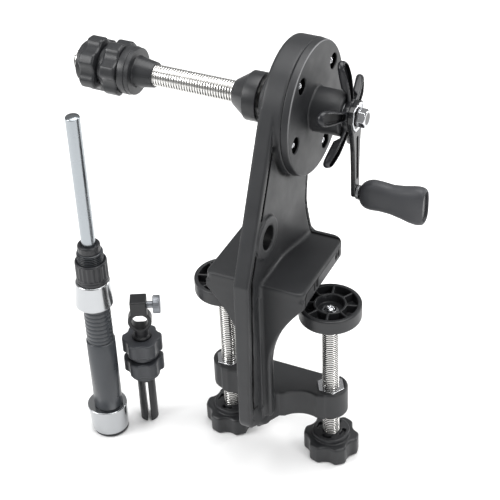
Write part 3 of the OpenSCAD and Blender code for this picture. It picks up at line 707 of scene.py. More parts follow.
@dataclass
class Assembly:
    """A group of pieces; each method that builds one names its node and body, and the node's slot gives its
    finish.
    """

    looks: Looks
    spindle_y: float = 37.0
    spindle_z: float = 110.0
    floor_z: float = -154.0
    seam: float = 10.3
    screw_circle: float = 35.5
    screw_angles: tuple[float, ...] = (-38.0, -104.0, 55.0, 157.0)

    def put(self, surface: Surface, node: str, body: str) -> None:
        """Makes a piece in place of a CAD node.

        Args:
            surface: Its surface in the frame's axes, in millimetres.
            node: The CAD node whose looks it takes over.
            body: The body it rides on.
        """
        obj = surface.make(node + "_look")
        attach(obj, body)
        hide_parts(node)
        self.looks.dress(obj, node)

    def on_spindle(self, x: float) -> Matrix:
        """Placement on the spindle's axis at station x."""
        return laid(x, self.spindle_y, self.spindle_z)

    def polar(self, p: Point) -> Point:
        """Place across and height from the spindle's axis, and the distance from it."""
        v, w = p[1] - self.spindle_y, p[2] - self.spindle_z
        return v, w, np.hypot(v, w)

    def screw_spot(self, angle: float) -> Pair:
        """Y and Z of a cover screw that sits angle degrees from the top towards the back."""
        a, r = math.radians(angle), self.screw_circle
        return self.spindle_y + r * math.sin(a), self.spindle_z + r * math.cos(a)

    def from_screws(self, p: Point) -> list[Array]:
        """Distance from the axis of each cover screw."""
        return [np.hypot(p[1] - y, p[2] - z) for y, z in map(self.screw_spot, self.screw_angles)]


@dataclass
class Stand(Assembly):
    """The one-piece stand: head shell, arm, jaw, gusset and yoke."""

    head_r: float = 46.5
    cavity_r: float = 42.5
    cavity_x: float = -2.5
    pillar_r: float = 4.7
    pilot_r: float = 1.8
    boss_r: float = 16.5
    boss_end: float = -19.5
    bore_r: float = 7.6
    bearing_r: float = 12.0
    bearing_end: float = -13.2
    arm_face: float = 5.5
    strip: float = 5.4
    sunk: float = 0.75
    groove_deep: float = 1.9
    groove_half: float = 1.5
    groove_in: float = 2.0
    groove_end: float = -90.0
    knee: Pair = (-55.0, 22.0)
    heel: Pair = (-47.6, -91.0)
    heel_r: float = 12.0
    toe: Pair = (-32.0, -115.0)
    ring: Pair = (-24.3, 43.8)
    ring_r: float = 15.1
    ring_half: float = 7.0
    ring_bore: float = 8.4
    jaw: Triple = (36.0, -36.0, 37.0)
    jaw_high: float = 12.0
    yoke: Pair = (-115.0, -92.6)
    post_y: Pair = (-36.0, -28.5)
    post_z: Pair = (-104.0, 6.0)
    lug_x: float = 40.0
    lug_r: float = 12.2
    lug_bore: float = 6.35
    lug_top: float = -85.0
    pocket_half: float = 9.15
    pocket_deep: float = 9.6
    slots: tuple[Triple, ...] = (
        (-12.0, 1.0, 2.9), (-16.6, 1.0, 2.9), (20.5, 0.9, 2.2), (24.7, 0.9, 2.2),
    )
    cell: float = 1.05

    @staticmethod
    def touch(p: Pair, c: Pair, r: float) -> Pair:
        """Where the line from a point touches a circle.

        Args:
            p: The point.
            c: The circle's centre.
            r: Its radius.

        Returns:
            The touching point.
        """
        d = math.dist(p, c)
        turn = math.asin(r / d) + math.atan2(c[1] - p[1], c[0] - p[0])
        far = math.sqrt(d * d - r * r)
        return p[0] + far * math.cos(turn), p[1] + far * math.sin(turn)

    def outline(self, inset: float) -> Pairs:
        """Side outline of the arm from the head to the foot of the rib.

        Args:
            inset: How far the front edge is moved back.

        Returns:
            Corners in the Y-Z plane.
        """
        head, knee = (self.spindle_y, self.spindle_z), (self.knee[0] + inset, self.knee[1])
        top = self.touch(knee, head, self.head_r - inset)
        low = self.touch(self.toe, self.heel, self.heel_r)
        front = (self.heel[0] - self.heel_r + inset, self.heel[1])
        foot = [(-28.5, -103), (-28.5, 6), (31, 6)]
        back = [(37, 12), (38.6, 20), (41.8, 30), (45, 42), (46.5, 54), (46.5, 70)]
        return [top, knee, front, self.heel, low, self.toe, *foot, *back, head]

    def from_ring(self, p: Point) -> Array:
        """Distance from the axis of the arm's ring."""
        return np.hypot(p[1] - self.ring[0], p[2] - self.ring[1])

    def arm(self, p: Point) -> Array:
        """Arm and rib: a plate with a sunk panel, a raised front strip and a tapering foot.

        Args:
            p: The point.

        Returns:
            Signed distance.
        """
        x, y, z = p
        heel = np.hypot(y - self.heel[0], z - self.heel[1]) - self.heel_r
        side = np.minimum(polygon(y, z, self.outline(0)), heel)
        panel = np.minimum(polygon(y, z, self.outline(self.strip)), heel + self.strip)
        half = np.interp(z, [-116, 22], [4.0, self.arm_face])
        half = half + 7.2 * smooth((y + 4) / 38) * (1 - smooth((z - 6) / 38)) ** 1.6 * (z > -2)
        depth = half - np.abs(x)
        sink = both(both(panel, self.head_r + 0.5 - self.polar(p)[2], 0.5), depth - self.sunk)
        line = both(np.abs(panel + self.groove_in) - self.groove_half, self.groove_end - z)
        groove = both(both(line, side + 2.5), depth - self.groove_deep)
        return cut(cut(both(side, -depth, 1.1), sink, 0.5), groove, 0.3)

    def foot(self, p: Point) -> Array:
        """Gusset plate, post and the cross yoke with its two bosses.

        Args:
            p: The point.

        Returns:
            Signed distance.
        """
        x, y, z = p
        u = np.abs(x)
        wide = 9.5 + 26.5 * ramp(1 + z / 60) ** 2
        plate = both(both(u - wide, span(y, *self.post_y), 1.2), span(z, *self.post_z), 1.0)
        corners = [(0, -40), (4.75, -32), (9.5, -22.7), (19, -19), (40, -13.5), (40, 9.6)]
        wing = polygon(u, y, [(-9, -40), *corners, (-9, 9.6)])
        wing = np.maximum(wing, 19 - np.hypot(u - 28.5, y + 32.5))
        flat = fillet(wing, np.hypot(u - self.lug_x, y) - self.lug_r, 3)
        return fillet(plate, both(flat, span(z, *self.yoke), 1.3), 4.0)

    def shape(self, p: Point) -> Array:
        """The whole stand: head, arm, jaw, foot and ring, less the cavity, bores and hexagon pockets.

        Args:
            p: The point.

        Returns:
            Signed distance.
        """
        x, y, z = p
        rho, hx, (y0, y1) = self.polar(p)[2], self.jaw[0], self.jaw[1:]
        head = both(both(rho - self.head_r, -self.arm_face - x, 2.0), x - self.seam, 0.6)
        deep = ramp(-polygon(y, z, self.outline(0)) / 7)
        body = fillet(head, self.arm(p), 0.1 + 1.4 * ramp((x - 1.5) / 4) * deep)
        body = fillet(body, both(rho - self.boss_r, span(x, self.boss_end, 0), 1.2), 1.2)
        long, across = (y1 - y0) / 2, y - (y0 + y1) / 2
        flat = rounded_rect(x, across, hx, long, 5.0)
        flat = np.maximum(flat, rounded_rect(x, across + 10, hx, long + 10, 9.0))
        jaw = cut(both(flat, span(z, 0, self.jaw_high), 1.4), self.marks(p), 0.2)
        soft = 0.2 + 3.8 * ramp((y + 33.5) / 4) * ramp((hx - np.abs(x)) / 5)
        body = fillet(body, fillet(jaw, self.foot(p), soft), 3.0)
        ring = self.from_ring(p)
        body = fillet(body, both(ring - self.ring_r, np.abs(x) - self.ring_half, 0.8), 0.8)
        web = 2.9 + np.clip(z + 96, 0, 118) * 0.011
        body = cut(body, both(rounded_rect(y + 39.2, z + 46, 2.6, 50, 2.5), web - np.abs(x)), 0.6)
        wall = self.cavity_x - x
        cavity = both(rho - self.cavity_r, wall)
        for pillar in self.from_screws(p):
            cavity = np.minimum(both(cavity, self.pillar_r - pillar), both(pillar - self.pilot_r, wall))
        body = cut(cut(body, cavity), rho - self.bore_r, 0.3)
        body = cut(body, both(rho - self.bearing_r, x - self.bearing_end))
        body = cut(body, ring - self.ring_bore, 0.7)
        u = np.abs(x) - self.lug_x
        body = cut(body, both(np.hypot(u, y) - self.lug_bore, z - self.lug_top), 0.4)
        deep = span(z, self.yoke[1] - self.pocket_deep, self.lug_top)
        return cut(body, both(fold(u, y, 6, TURN / 12)[0] - self.pocket_half, deep))

    def marks(self, p: Point) -> Array:
        """Two groups of small plain slots in the jaw's side.

        Args:
            p: The point.

        Returns:
            Signed distance to the slots.
        """
        x, y, z = p
        middle, corner, deep = self.jaw_high / 2, 0.7, 1.1
        all_slots = [rounded_rect(y - at, z - middle, wide, tall, corner) for at, wide, tall in self.slots]
        return np.maximum(np.min(all_slots, axis=0), self.jaw[0] - deep - x)

    def crease(self, p: Point) -> Array:
        """Painted shade on the moulding: the line behind the strip, the wedge under the head and the ring's
        bore; the jaw's slots are painted dark too.

        Args:
            p: The point.

        Returns:
            Share of painted shade, from 0 to 1.
        """
        x, y, z = p
        (_, w, rho), ring = self.polar(p), self.from_ring(p)
        # Painted shadow in the gap behind the front strip
        inside = (polygon(y, z, self.outline(0)) < -2.5) & (z > -90) & (np.abs(x) > 2.5)
        outside = (rho > self.head_r + 0.9) & (ring > self.ring_r + 0.5)
        line = np.abs(polygon(y, z, self.outline(self.strip)) + 2.1)
        line = ramp(4.4 - line * 2) * inside * outside
        # Painted shadow on the wedge of the head's ring over the panel
        low = ramp(0.1 - w / self.head_r * 2.2) * (x > self.arm_face - 2) * (rho > self.head_r - 1.5)
        under = ramp((self.head_r + 4.0 - rho) / 3.5) * ramp((self.seam - 0.4 - x) * 1.5) * low
        under = under * ramp(-polygon(y, z, self.outline(1.6)) / 3) * ramp((self.arm_face + 2.2 - x) / 2)
        # Painted shade in the ring's bore; the jaw's slots painted dark
        wall = ramp(9.2 - ring) * (np.abs(x) < 6.3)
        slots = ramp(0.8 - self.marks(p)) * (x < self.jaw[0] - 0.15)
        return np.max([line, wall, slots, 0.9 * under], axis=0)

    def build(self) -> None:
        """Makes the stand."""
        surface = net(self.shape, (-52.4, -60, -115.2), (52.4, 83.6, 156.6), self.cell)
        self.put(surface.with_painted_light(self.crease), "stand", "stand")


@dataclass
class Head(Assembly):
    """Cover with its hub, and the four cross-recessed screws sunk in it."""

    face: float = 15.7
    hub_end: float = 37.0
    rim_r: float = 46.2
    lip_r: float = 42.4
    hub_r: float = 15.0
    hollow_r: float = 10.6
    sink_r: float = 5.5
    sink: float = 3.2

    def cover(self, p: Point) -> Array:
        """Flat cover that flows into its hub.

        Args:
            p: The point.

        Returns:
            Signed distance.
        """
        x, rho = p[0], self.polar(p)[2]
        wide = np.interp(x, [self.seam, self.face], [self.rim_r, self.rim_r - 0.6])
        disc = both(rho - wide, span(x, self.seam, self.face), 0.3)
        disc = both(disc, (rho - 45.7) * 0.8 + (x - self.face) * 0.6 + 0.6, 0.15)
        body = fillet(disc, both(rho - self.hub_r, span(x, self.seam, self.hub_end), 0.7), 1.1)
        body = np.minimum(body, both(rho - self.lip_r, span(x, self.seam - 2, self.seam + 1), 0.3))
        for axis in self.from_screws(p):
            body = cut(body, both(axis - self.sink_r, self.face - self.sink - x), 0.5)
        return cut(body, both(rho - self.hollow_r, self.seam - 3 - x))

    def shade(self, p: Point) -> Array:
        """Painted shade in the screws' sinks and under the rim, less a pale painted highlight along the
        chamfered edge.

        Args:
            p: The point.

        Returns:
            Share of painted shade, from -1 to 1; below 0 it is a painted highlight.
        """
        x, (v, w, rho) = p[0], self.polar(p)
        # Painted shade in the screws' sinks and under the rim's lower side
        sunk = ramp((self.sink_r + 0.6 - np.min(self.from_screws(p), axis=0)) * 2)
        rim = 0.8 * ramp(-1.6 * w / 46 - 0.6) * (v < 10) * (rho > 44.5)
        dark = np.maximum(sunk, rim) * ramp((self.face - 0.3 - x) * 2)
        # Painted highlight along the cover's chamfered edge
        edge = ramp(1.2 - 2 * np.abs((rho - 45.2) * 0.6 - (x - 15.25) * 0.8))
        edge = edge * (rho > 44.6) * (x > 14.5) * ramp(0.6 + w / 46)
        return dark - 0.8 * edge * (1 - dark)

    @staticmethod
    def screw(p: Point) -> Array:
        """One pan-head screw with a cross recess, its axis along X and its head's foot at 0.

        Args:
            p: The point.

        Returns:
            Signed distance.
        """
        x, y, z = p
        rho = np.hypot(y, z)
        head = both(both(rho - 3.7, np.sqrt(x**2 + rho**2 * 0.55) - 2.2, 0.3), -x, 0.2)
        shank = both(rho - 1.75, span(x, -11, 1), 0.3)
        recess = cross((y + z) / math.sqrt(2), (y - z) / math.sqrt(2), 0.5, 2.0)
        return cut(np.minimum(head, shank), np.maximum(recess, 1.0 - x + rho * 0.45), 0.15)

    def build(self) -> None:
        """Makes the cover and its screws."""
        y, z, r = self.spindle_y, self.spindle_z, self.rim_r
        cover = net(self.cover, (self.seam - 2, y - r, z - r), (self.hub_end, y + r, z + r), 0.6)
        self.put(cover.with_painted_light(self.shade), "head_cover", "stand")
        one = net(self.screw, (-11, -3.7, -3.7), (2.2, 3.7, 3.7), 0.28)
        verts = []
        for angle in self.screw_angles:
            spot = Matrix.Translation((self.face - self.sink, *self.screw_spot(angle)))
            verts.append(one.moved(spot @ Matrix.Rotation(math.radians(angle), 4, "X")).verts)
        quads = [one.quads + i * len(one.verts) for i in range(len(verts))]
        self.put(Surface(np.vstack(verts), np.vstack(quads)), "cover_screws", "stand")


@dataclass
class Drive(Assembly):
    """Spindle, star wheel, crank and its knob."""

    rod_end: float = -166.0
    hub_step: float = 35.2
    star_at: float = 37.3
    crank_at: float = 41.4
    nut_at: float = 46.3
    end: float = 51.5
    crank_r: float = 58.8
    grip_at: float = 47.0
    grip_len: float = 46.2
    arms: int = 5
    arm_end: float = 32.0
    arm_r: float = 5.0
    arm_fall: float = 5.4
    star_hub: float = 9.5
    star_bore: float = 5.55
    star_high: float = 3.8
    pin_boss: float = 4.0
    pin_hole: float = 2.5
    rod_hole: float = 4.0

    # Outline of the crank's head as shares of its half width and half height
    SHIELD = (
        (-1, 0), (-0.82, 0.95), (-0.45, 1.2), (0.45, 1.2), (0.82, 0.95),
        (1, 0), (0.78, -0.8), (0.4, -1.25), (-0.4, -1.25), (-0.78, -0.8),
    )
    SHIELD_SIZE = (10.45, 7.98)

    # Sections of the knob: share of its length, then shares of the half widths up, down and across
    SHARE = (0, 0.02, 0.08, 0.18, 0.33, 0.49, 0.66, 0.78, 0.88, 0.95, 0.985, 1)
    UP = (0.3, 0.52, 0.73, 0.88, 0.88, 0.83, 0.91, 1.01, 1.08, 1.07, 1.0, 0.92)
    DOWN = (0.36, 0.56, 0.75, 0.8, 0.75, 0.79, 0.93, 1.05, 1.09, 1.05, 0.98, 0.9)
    ACROSS = (0.45, 0.66, 0.86, 0.96, 0.94, 0.9, 0.93, 0.98, 1.0, 0.99, 0.95, 0.88)
    WIDE, THICK = 13.2, 7.0

    # The knob's hollow end: share of the last section and depth
    END = ((0.98, 0.0), (0.95, 0.1), (0.93, 0.5), (0.92, 1.2), (0.91, 2.0), (0.9, 2.2), (0.5, 2.2))

    def leaf(self, p: Point) -> Point:
        """Places a local point on the nearest arm of the star, which sweeps back towards the cover.

        Args:
            p: The point, its Z along the spindle.

        Returns:
            Distance out along the arm, signed distance to its outline, and height over its swept front.
        """
        u, v, _ = fold(p[0], p[1], self.arms, math.radians(175))
        half = np.interp(u, [6, 12, 18, 24, 29, 32, 37], [3.9, 3.4, 3.9, 4.6, 4.95, 5.0, 5.0])
        flat = np.maximum(np.abs(v) - half, span(u, 2, self.arm_end + 0.3))
        flat = np.minimum(flat, np.hypot(u - self.arm_end, v) - self.arm_r)
        return u, flat, p[2] - 3.5 + self.arm_fall * np.clip((u - 9) / 28, 0, 1.05) ** 1.6

    def star(self, p: Point) -> Array:
        """Star wheel with hollowed arms, its axis along local Z.

        Args:
            p: The point.

        Returns:
            Signed distance.
        """
        (u, flat, top), z, rho = self.leaf(p), p[2], np.hypot(p[0], p[1])
        under = -z - np.minimum(np.maximum(u - 16.2, 0) * 1.2, 6.1 + top - z)
        arm = -fillet(-flat, -both(top, under, 0.4), 1.6 + 1.4 * ramp((u - 26) / 8))
        channel = both(both(flat + 1.3, 10.5 - u, 1.2), -top - 2.4 - 0.07 * np.maximum(u - 16, 0))
        hub = both(rho - self.star_hub, span(z, 0, self.star_high), 0.4)
        return both(fillet(cut(arm, channel, 0.3), hub, 2.0), self.star_bore - rho)

    def hollows(self, p: Point) -> Array:
        """Share of painted shade in the star's hollows."""
        u, flat, top = self.leaf(p)
        return 0.8 * ramp((-flat - 0.9) * 3) * ramp(-top * 2 - 0.8) * ramp(top + 4) * (u > 10)

    def shield(self, v: Array, w: Array) -> Array:
        """Signed distance to the outline of the crank's head, v across and w up from the spindle."""
        return polygon(v, w, np.array(self.SHIELD) * self.SHIELD_SIZE)

    def crank(self, p: Point) -> Array:
        """Crank arm with its cupped head and channelled lever.

        Args:
            p: The point.

        Returns:
            Signed distance.
        """
        x, x0, (v, w, rho) = p[0], self.crank_at, self.polar(p)
        head, pin = self.shield(v, w), np.hypot(v, w + self.crank_r)
        half = np.interp(-w, [0, 12, 24, 40, 58.8], [9.5, 7.0, 5.2, 4.3, 4.0])
        lever = np.maximum(np.abs(v) - half, span(-w, -4, self.crank_r))
        lever = fillet(np.minimum(lever, pin - self.pin_boss), head, 2.0)
        body = np.minimum(both(lever, span(x, x0, x0 + 3.2), 0.5), both(head, span(x, x0, x0 + 3.5), 0.4))
        body = cut(body, both(head + 0.7, x0 + 2.0 - x), 0.2)
        body = cut(body, both(rounded_rect(v, w + 31.45, 1.5, 16.7, 1.4), x0 + 1.6 - x), 0.3)
        return both(both(body, self.rod_hole - rho), self.pin_hole - pin)

    def retainer(self, p: Point) -> Array:
        """Bright plate in the crank's head with a dished middle.

        Args:
            p: The point.

        Returns:
            Signed distance.
        """
        v, w, rho = self.polar(p)
        x, edge, foot, top = p[0], self.shield(v, w) + 0.75, self.crank_at + 2.0, self.crank_at + 4.0
        plate = cut(both(edge, span(x, foot, top), 0.3), both(edge + 1.3, top - 0.5 - x, 0.2), 0.2)
        plate = cut(plate, both(np.hypot(v + 6.2, w - 3.0) - 1.3, top - 1.4 - x), 0.2)
        return np.maximum(plate, 4.05 - rho)

    def dish(self, p: Point) -> Array:
        """Share of painted shade in the plate's dished middle, more in its lower half.

        Args:
            p: The point.

        Returns:
            Share of painted shade.
        """
        w, rho = self.polar(p)[1:]
        sunk = ramp((self.crank_at + 3.85 - p[0]) * 5)
        return sunk * ramp((8.6 - rho) * 0.9) * np.clip(0.75 - 0.12 * w, 0.2, 1)

    @staticmethod
    def nut(p: Point) -> Array:
        """Flanged hexagon nut, its axis along local Z.

        Args:
            p: The point.

        Returns:
            Signed distance.
        """
        z, (along, _, rho) = p[2], fold(p[0], p[1], 6)
        hexagon = both(along - 5.6, rho + (z - 5.2) * 1.3 - 5.2, 0.15)
        flange = both(rho - 6.4, span(z, -1.4, -0.2), 0.4)
        body = np.minimum(both(hexagon, span(z, -1.4, 5.2), 0.3), flange)
        return cut(body, both(rho - 4.0, z - 3.6))

    @staticmethod
    def nut_painted_shade(p: Point) -> Array:
        """Share of painted shade at the nut's flange and in its hole."""
        return np.maximum(ramp(0.6 - p[2]), ramp((4.4 - np.hypot(p[0], p[1])) * 2))

    def grip(self) -> Surface:
        """Crank knob: rounded sections along the pin whose widths swell towards the free end.

        Each section is the superellipse |y / flat|^n + |z / wide|^n = 1 with n = 2.7.

        Returns:
            The surface.
        """
        cols, n = 96, 2.7
        t = (1 - np.cos(np.linspace(0, math.pi, 90))) / 2
        up, down, flat = (self.eased(t, w)[:, None] for w in (self.UP, self.DOWN, self.ACROSS))
        angle = np.linspace(0, TURN, cols, endpoint=False)[None, :]
        wide = np.where(np.cos(angle) < 0, up, down) * self.WIDE
        rad = np.abs(np.cos(angle) / wide) ** n + np.abs(np.sin(angle) / (flat * self.THICK)) ** n
        rad = rad ** (-1 / n)
        end = np.array(self.END)
        z = np.concatenate([t * self.grip_len, self.grip_len - end[:, 1]])
        return tube_grid(np.vstack([rad, rad[-1:] * end[:, :1]]), np.repeat(z[:, None], cols, 1), angle)

    def eased(self, t: Array, value: Sequence[float]) -> Array:
        """Reads a table along the knob with rounded rather than straight steps.

        Args:
            t: Shares of the length to read at.
            value: Values at the shares of the table.

        Returns:
            The table's values, averaged over five points near each share.
        """
        near = ramp(np.minimum(t, 1 - t) / 0.06)
        shifts = (-0.03, -0.015, 0, 0.015, 0.03)
        return sum(np.interp(t + s * near, self.SHARE, value) for s in shifts) / len(shifts)

    def end_cap(self, p: Point) -> Array:
        """Dark plate sunk in the knob's free end, its thickness along local Z."""
        thick = span(p[2], self.grip_len - 2.3, self.grip_len - 1.5)
        return both(rounded_rect(p[0], p[1], 9.6, 5.0, 4.6), thick, 0.3)

    def build(self) -> None:
        """Makes the turning parts of the crank's side and the rod."""
        corners = (
            (7.5, -17.0), (7.5, self.hub_step), (5.5, self.hub_step), (5.5, self.crank_at),
            (4.0, self.crank_at), (4.0, self.end - 2.2), (3.6, self.end - 1.8),
        )
        # The spindle's thread gets 0.4 of the painted shade in its roots
        rod = Thread(7.5, 2.0, 0.75, 147.0, 40, 8, 0.4).surface([(r, x - self.rod_end) for r, x in corners])
        self.put(rod.moved(self.on_spindle(self.rod_end)), "spindle_shaft", "spindle")
        star = net(self.star, (-37.2, -37.2, -8.2), (37.2, 37.2, self.star_high), 0.5).with_painted_light(self.hollows)
        self.put(star.moved(self.on_spindle(self.star_at)), "star_wheel", "star_wheel")
        x, y, z = self.crank_at, self.spindle_y, self.spindle_z
        low, high = (x, y - 10.6, z - self.crank_r - 4), (x + 5.9, y + 10.6, z + 10)
        self.put(net(self.crank, low, high, 0.42), "crank_arm", "spindle")
        self.put(net(self.retainer, low, high, 0.33).with_painted_light(self.dish), "crank_retainer", "spindle")
        nut = net(self.nut, (-6.5, -6.5, -1.4), (6.5, 6.5, 5.2), 0.26).with_painted_light(self.nut_painted_shade)
        self.put(nut.moved(self.on_spindle(self.nut_at)), "crank_nut", "spindle")
        place = laid(self.grip_at, y, z - self.crank_r)
        self.put(self.grip().moved(place), "crank_knob", "crank_knob")
        cap = net(self.end_cap, (-9.6, -5.0, self.grip_len - 2.3), (9.6, 5.0, self.grip_len - 1.2), 0.3)
        self.put(cap.moved(place), "knob_end_cap", "crank_knob")


@dataclass
class SpoolClamp(Assembly):
    """Cones and lobed nuts that hold a spool on the rod."""

    inner_at: float = -21.7
    flange_at: float = -117.6
    nuts: tuple[tuple[str, float, float], ...] = (("cone_nut", -138.5, 12.0), ("lock_nut", -155.4, -6.0))
    nut_r: float = 19.5
    nut_span: Pair = (-4.6, 12.0)

    def build(self) -> None:
        """Makes the cones and the nuts."""
        inner = turned([(17.0, 0), (17.0, 9.8), (16.4, 10.0), (8.9, 21.0)], 96, 0.8, bore=ROD_BORE)
        flip = self.on_spindle(self.inner_at) @ Matrix.Rotation(math.pi, 4, "X")
        self.put(inner.moved(flip), "inner_cone", "spindle")
        flange = [(17.0, -8.6), (17.0, -3.4), (16.5, -3.4), (16.5, 0)]
        outer = turned([*flange, (11.2, 0), (10.9, 1), (8.8, 14)], 96, 0.5, bore=ROD_BORE)
        self.put(outer.moved(self.on_spindle(self.flange_at)), "outer_cone", "outer_cone")
        r, (foot, top) = self.nut_r, self.nut_span
        for node, at, phase in self.nuts:
            grip = Lobed(r, 3.0, 8.8, 1.6, 0.0, top, 1.6, phase)
            shape = grip.nut((14.4, foot, 6.0, 0.7), 0.8, (ROD_BORE, 0.5))
            self.put(net(shape, (-r, -r, foot), (r, r, top), 0.7).moved(self.on_spindle(at)), node, node)


@dataclass
class TableClamp(Assembly):
    """Clamp screws with their knobs, and the round pads that meet the table."""

    screw_x: float = 40.0
    screw_r: float = 6.0
    screw_foot: float = -146.5
    shoulder: float = -26.7
    pad_r: float = 22.0
    pad_top: float = -18.0
    pad_low: float = -29.0
    pad_hole: float = 2.55
    well_r: float = 19.0
    ring_r: float = 10.7
    web_half: float = 0.75
    web_low: float = 0.6
    washer: float = -24.7
    knob_r: float = 20.0
    knob_top: float = -135.0
    knob_mid: float = -139.0
    knob_low: float = -154.0

    def pad(self, p: Point) -> Array:
        """Dished pad with a rim, an inner ring and eight spokes, about the Z axis.

        Args:
            p: The point.

        Returns:
            Signed distance.
        """
        z, (_, across, rho) = p[2], fold(p[0], p[1], 8, math.radians(15))
        low = z - self.pad_top + self.web_low
        ring = both(np.abs(rho - self.ring_r) - 0.8, low, 0.3)
        spoke = both(both(np.abs(across) - self.web_half, 10.5 - rho), low, 0.3)
        well = cut(both(rho - self.well_r, self.pad_low + 4 - z, 0.8), np.minimum(ring, spoke), 0.4)
        body = cut(both(rho - self.pad_r, span(z, self.pad_low, self.pad_top), 1.0), well, 0.4)
        return cut(both(body, self.pad_hole - rho), both(rho - 6.5, z - self.pad_low - 2.6))

    def knob(self, p: Point) -> Array:
        """Lobed knob with a ring on top that has four kidney openings, about the Z axis.

        Args:
            p: The point.

        Returns:
            Signed distance.
        """
        z, (_, across, rho) = p[2], fold(p[0], p[1], 4)
        grip = Lobed(self.knob_r, 3.0, 8.8, 1.6, self.knob_low, self.knob_mid, 1.8, 12.0).grip(p)
        body = fillet(grip, both(rho - 13.5, span(z, self.knob_low + 4, self.knob_top), 0.9), 0.8)
        kidney = both(np.abs(rho - 9.4) - 1.5, np.abs(across) - 3.6)
        body = cut(body, both(kidney, self.knob_top - 2.6 - z), 0.3)
        return cut(body, both(rho - self.screw_r, self.screw_foot - z))

    def holder(self, p: Point) -> Array:
        """Pan head and washer over the pad's middle, with the screw below, about the Z axis.

        Args:
            p: The point.

        Returns:
            Signed distance.
        """
        rho, z = np.hypot(p[0], p[1]), p[2] - self.washer
        plate = both(rho - 6.0, span(z, 0, 0.8), 0.25)
        head = np.maximum(both(rho - 4.0, np.sqrt((z - 0.8) ** 2 + 0.4 * rho**2) - 2.6, 0.4), -z)
        stem = np.maximum(rho - 2.5, span(z, self.shoulder - self.washer, 1))
        recess = np.maximum(cross(p[0], p[1], 0.55, 2.2), 1.9 + 0.4 * rho - z)
        return cut(np.minimum(np.minimum(plate, head), stem), recess, 0.15)

    def build(self) -> None:
        """Makes both clamp screws, their knobs and their pads."""
        a, b, foot = self.pad_r, self.knob_r, self.screw_foot
        # The clamp screws' threads get the full painted shade in their roots
        screw = Thread(self.screw_r, 1.75, 0.9, self.shoulder - foot, 32, 10).surface()
        screw = screw.moved(upright(0, 0, foot))
        holder = net(self.holder, (-6, -6, self.shoulder), (6, 6, self.washer + 3.4), 0.33)
        pieces = (
            ("pad", "pad", net(self.pad, (-a, -a, self.pad_low), (a, a, self.pad_top), 0.55)),
            ("clamp_knob", "screw", net(self.knob, (-b, -b, self.knob_low), (b, b, self.knob_top), 0.62)),
            ("clamp_screw", "screw", screw),
            ("pad_screw", "screw", holder),
        )
        for side, x in (("left", -self.screw_x), ("right", self.screw_x)):
            for piece, body, surface in pieces:
                self.put(surface.moved(upright(x, 0, 0)), f"{side}_{piece}", f"{side}_{body}")


@dataclass
class Accessory(Assembly):
    """A loose accessory that stands upright on the floor."""

    at: Pair = (0.0, 0.0)
    turn: float = 27.0

    def up(self, z: float) -> Matrix:
        """Placement on its axis at height z above its foot."""
        return upright(*self.at, self.floor_z + z, self.turn)


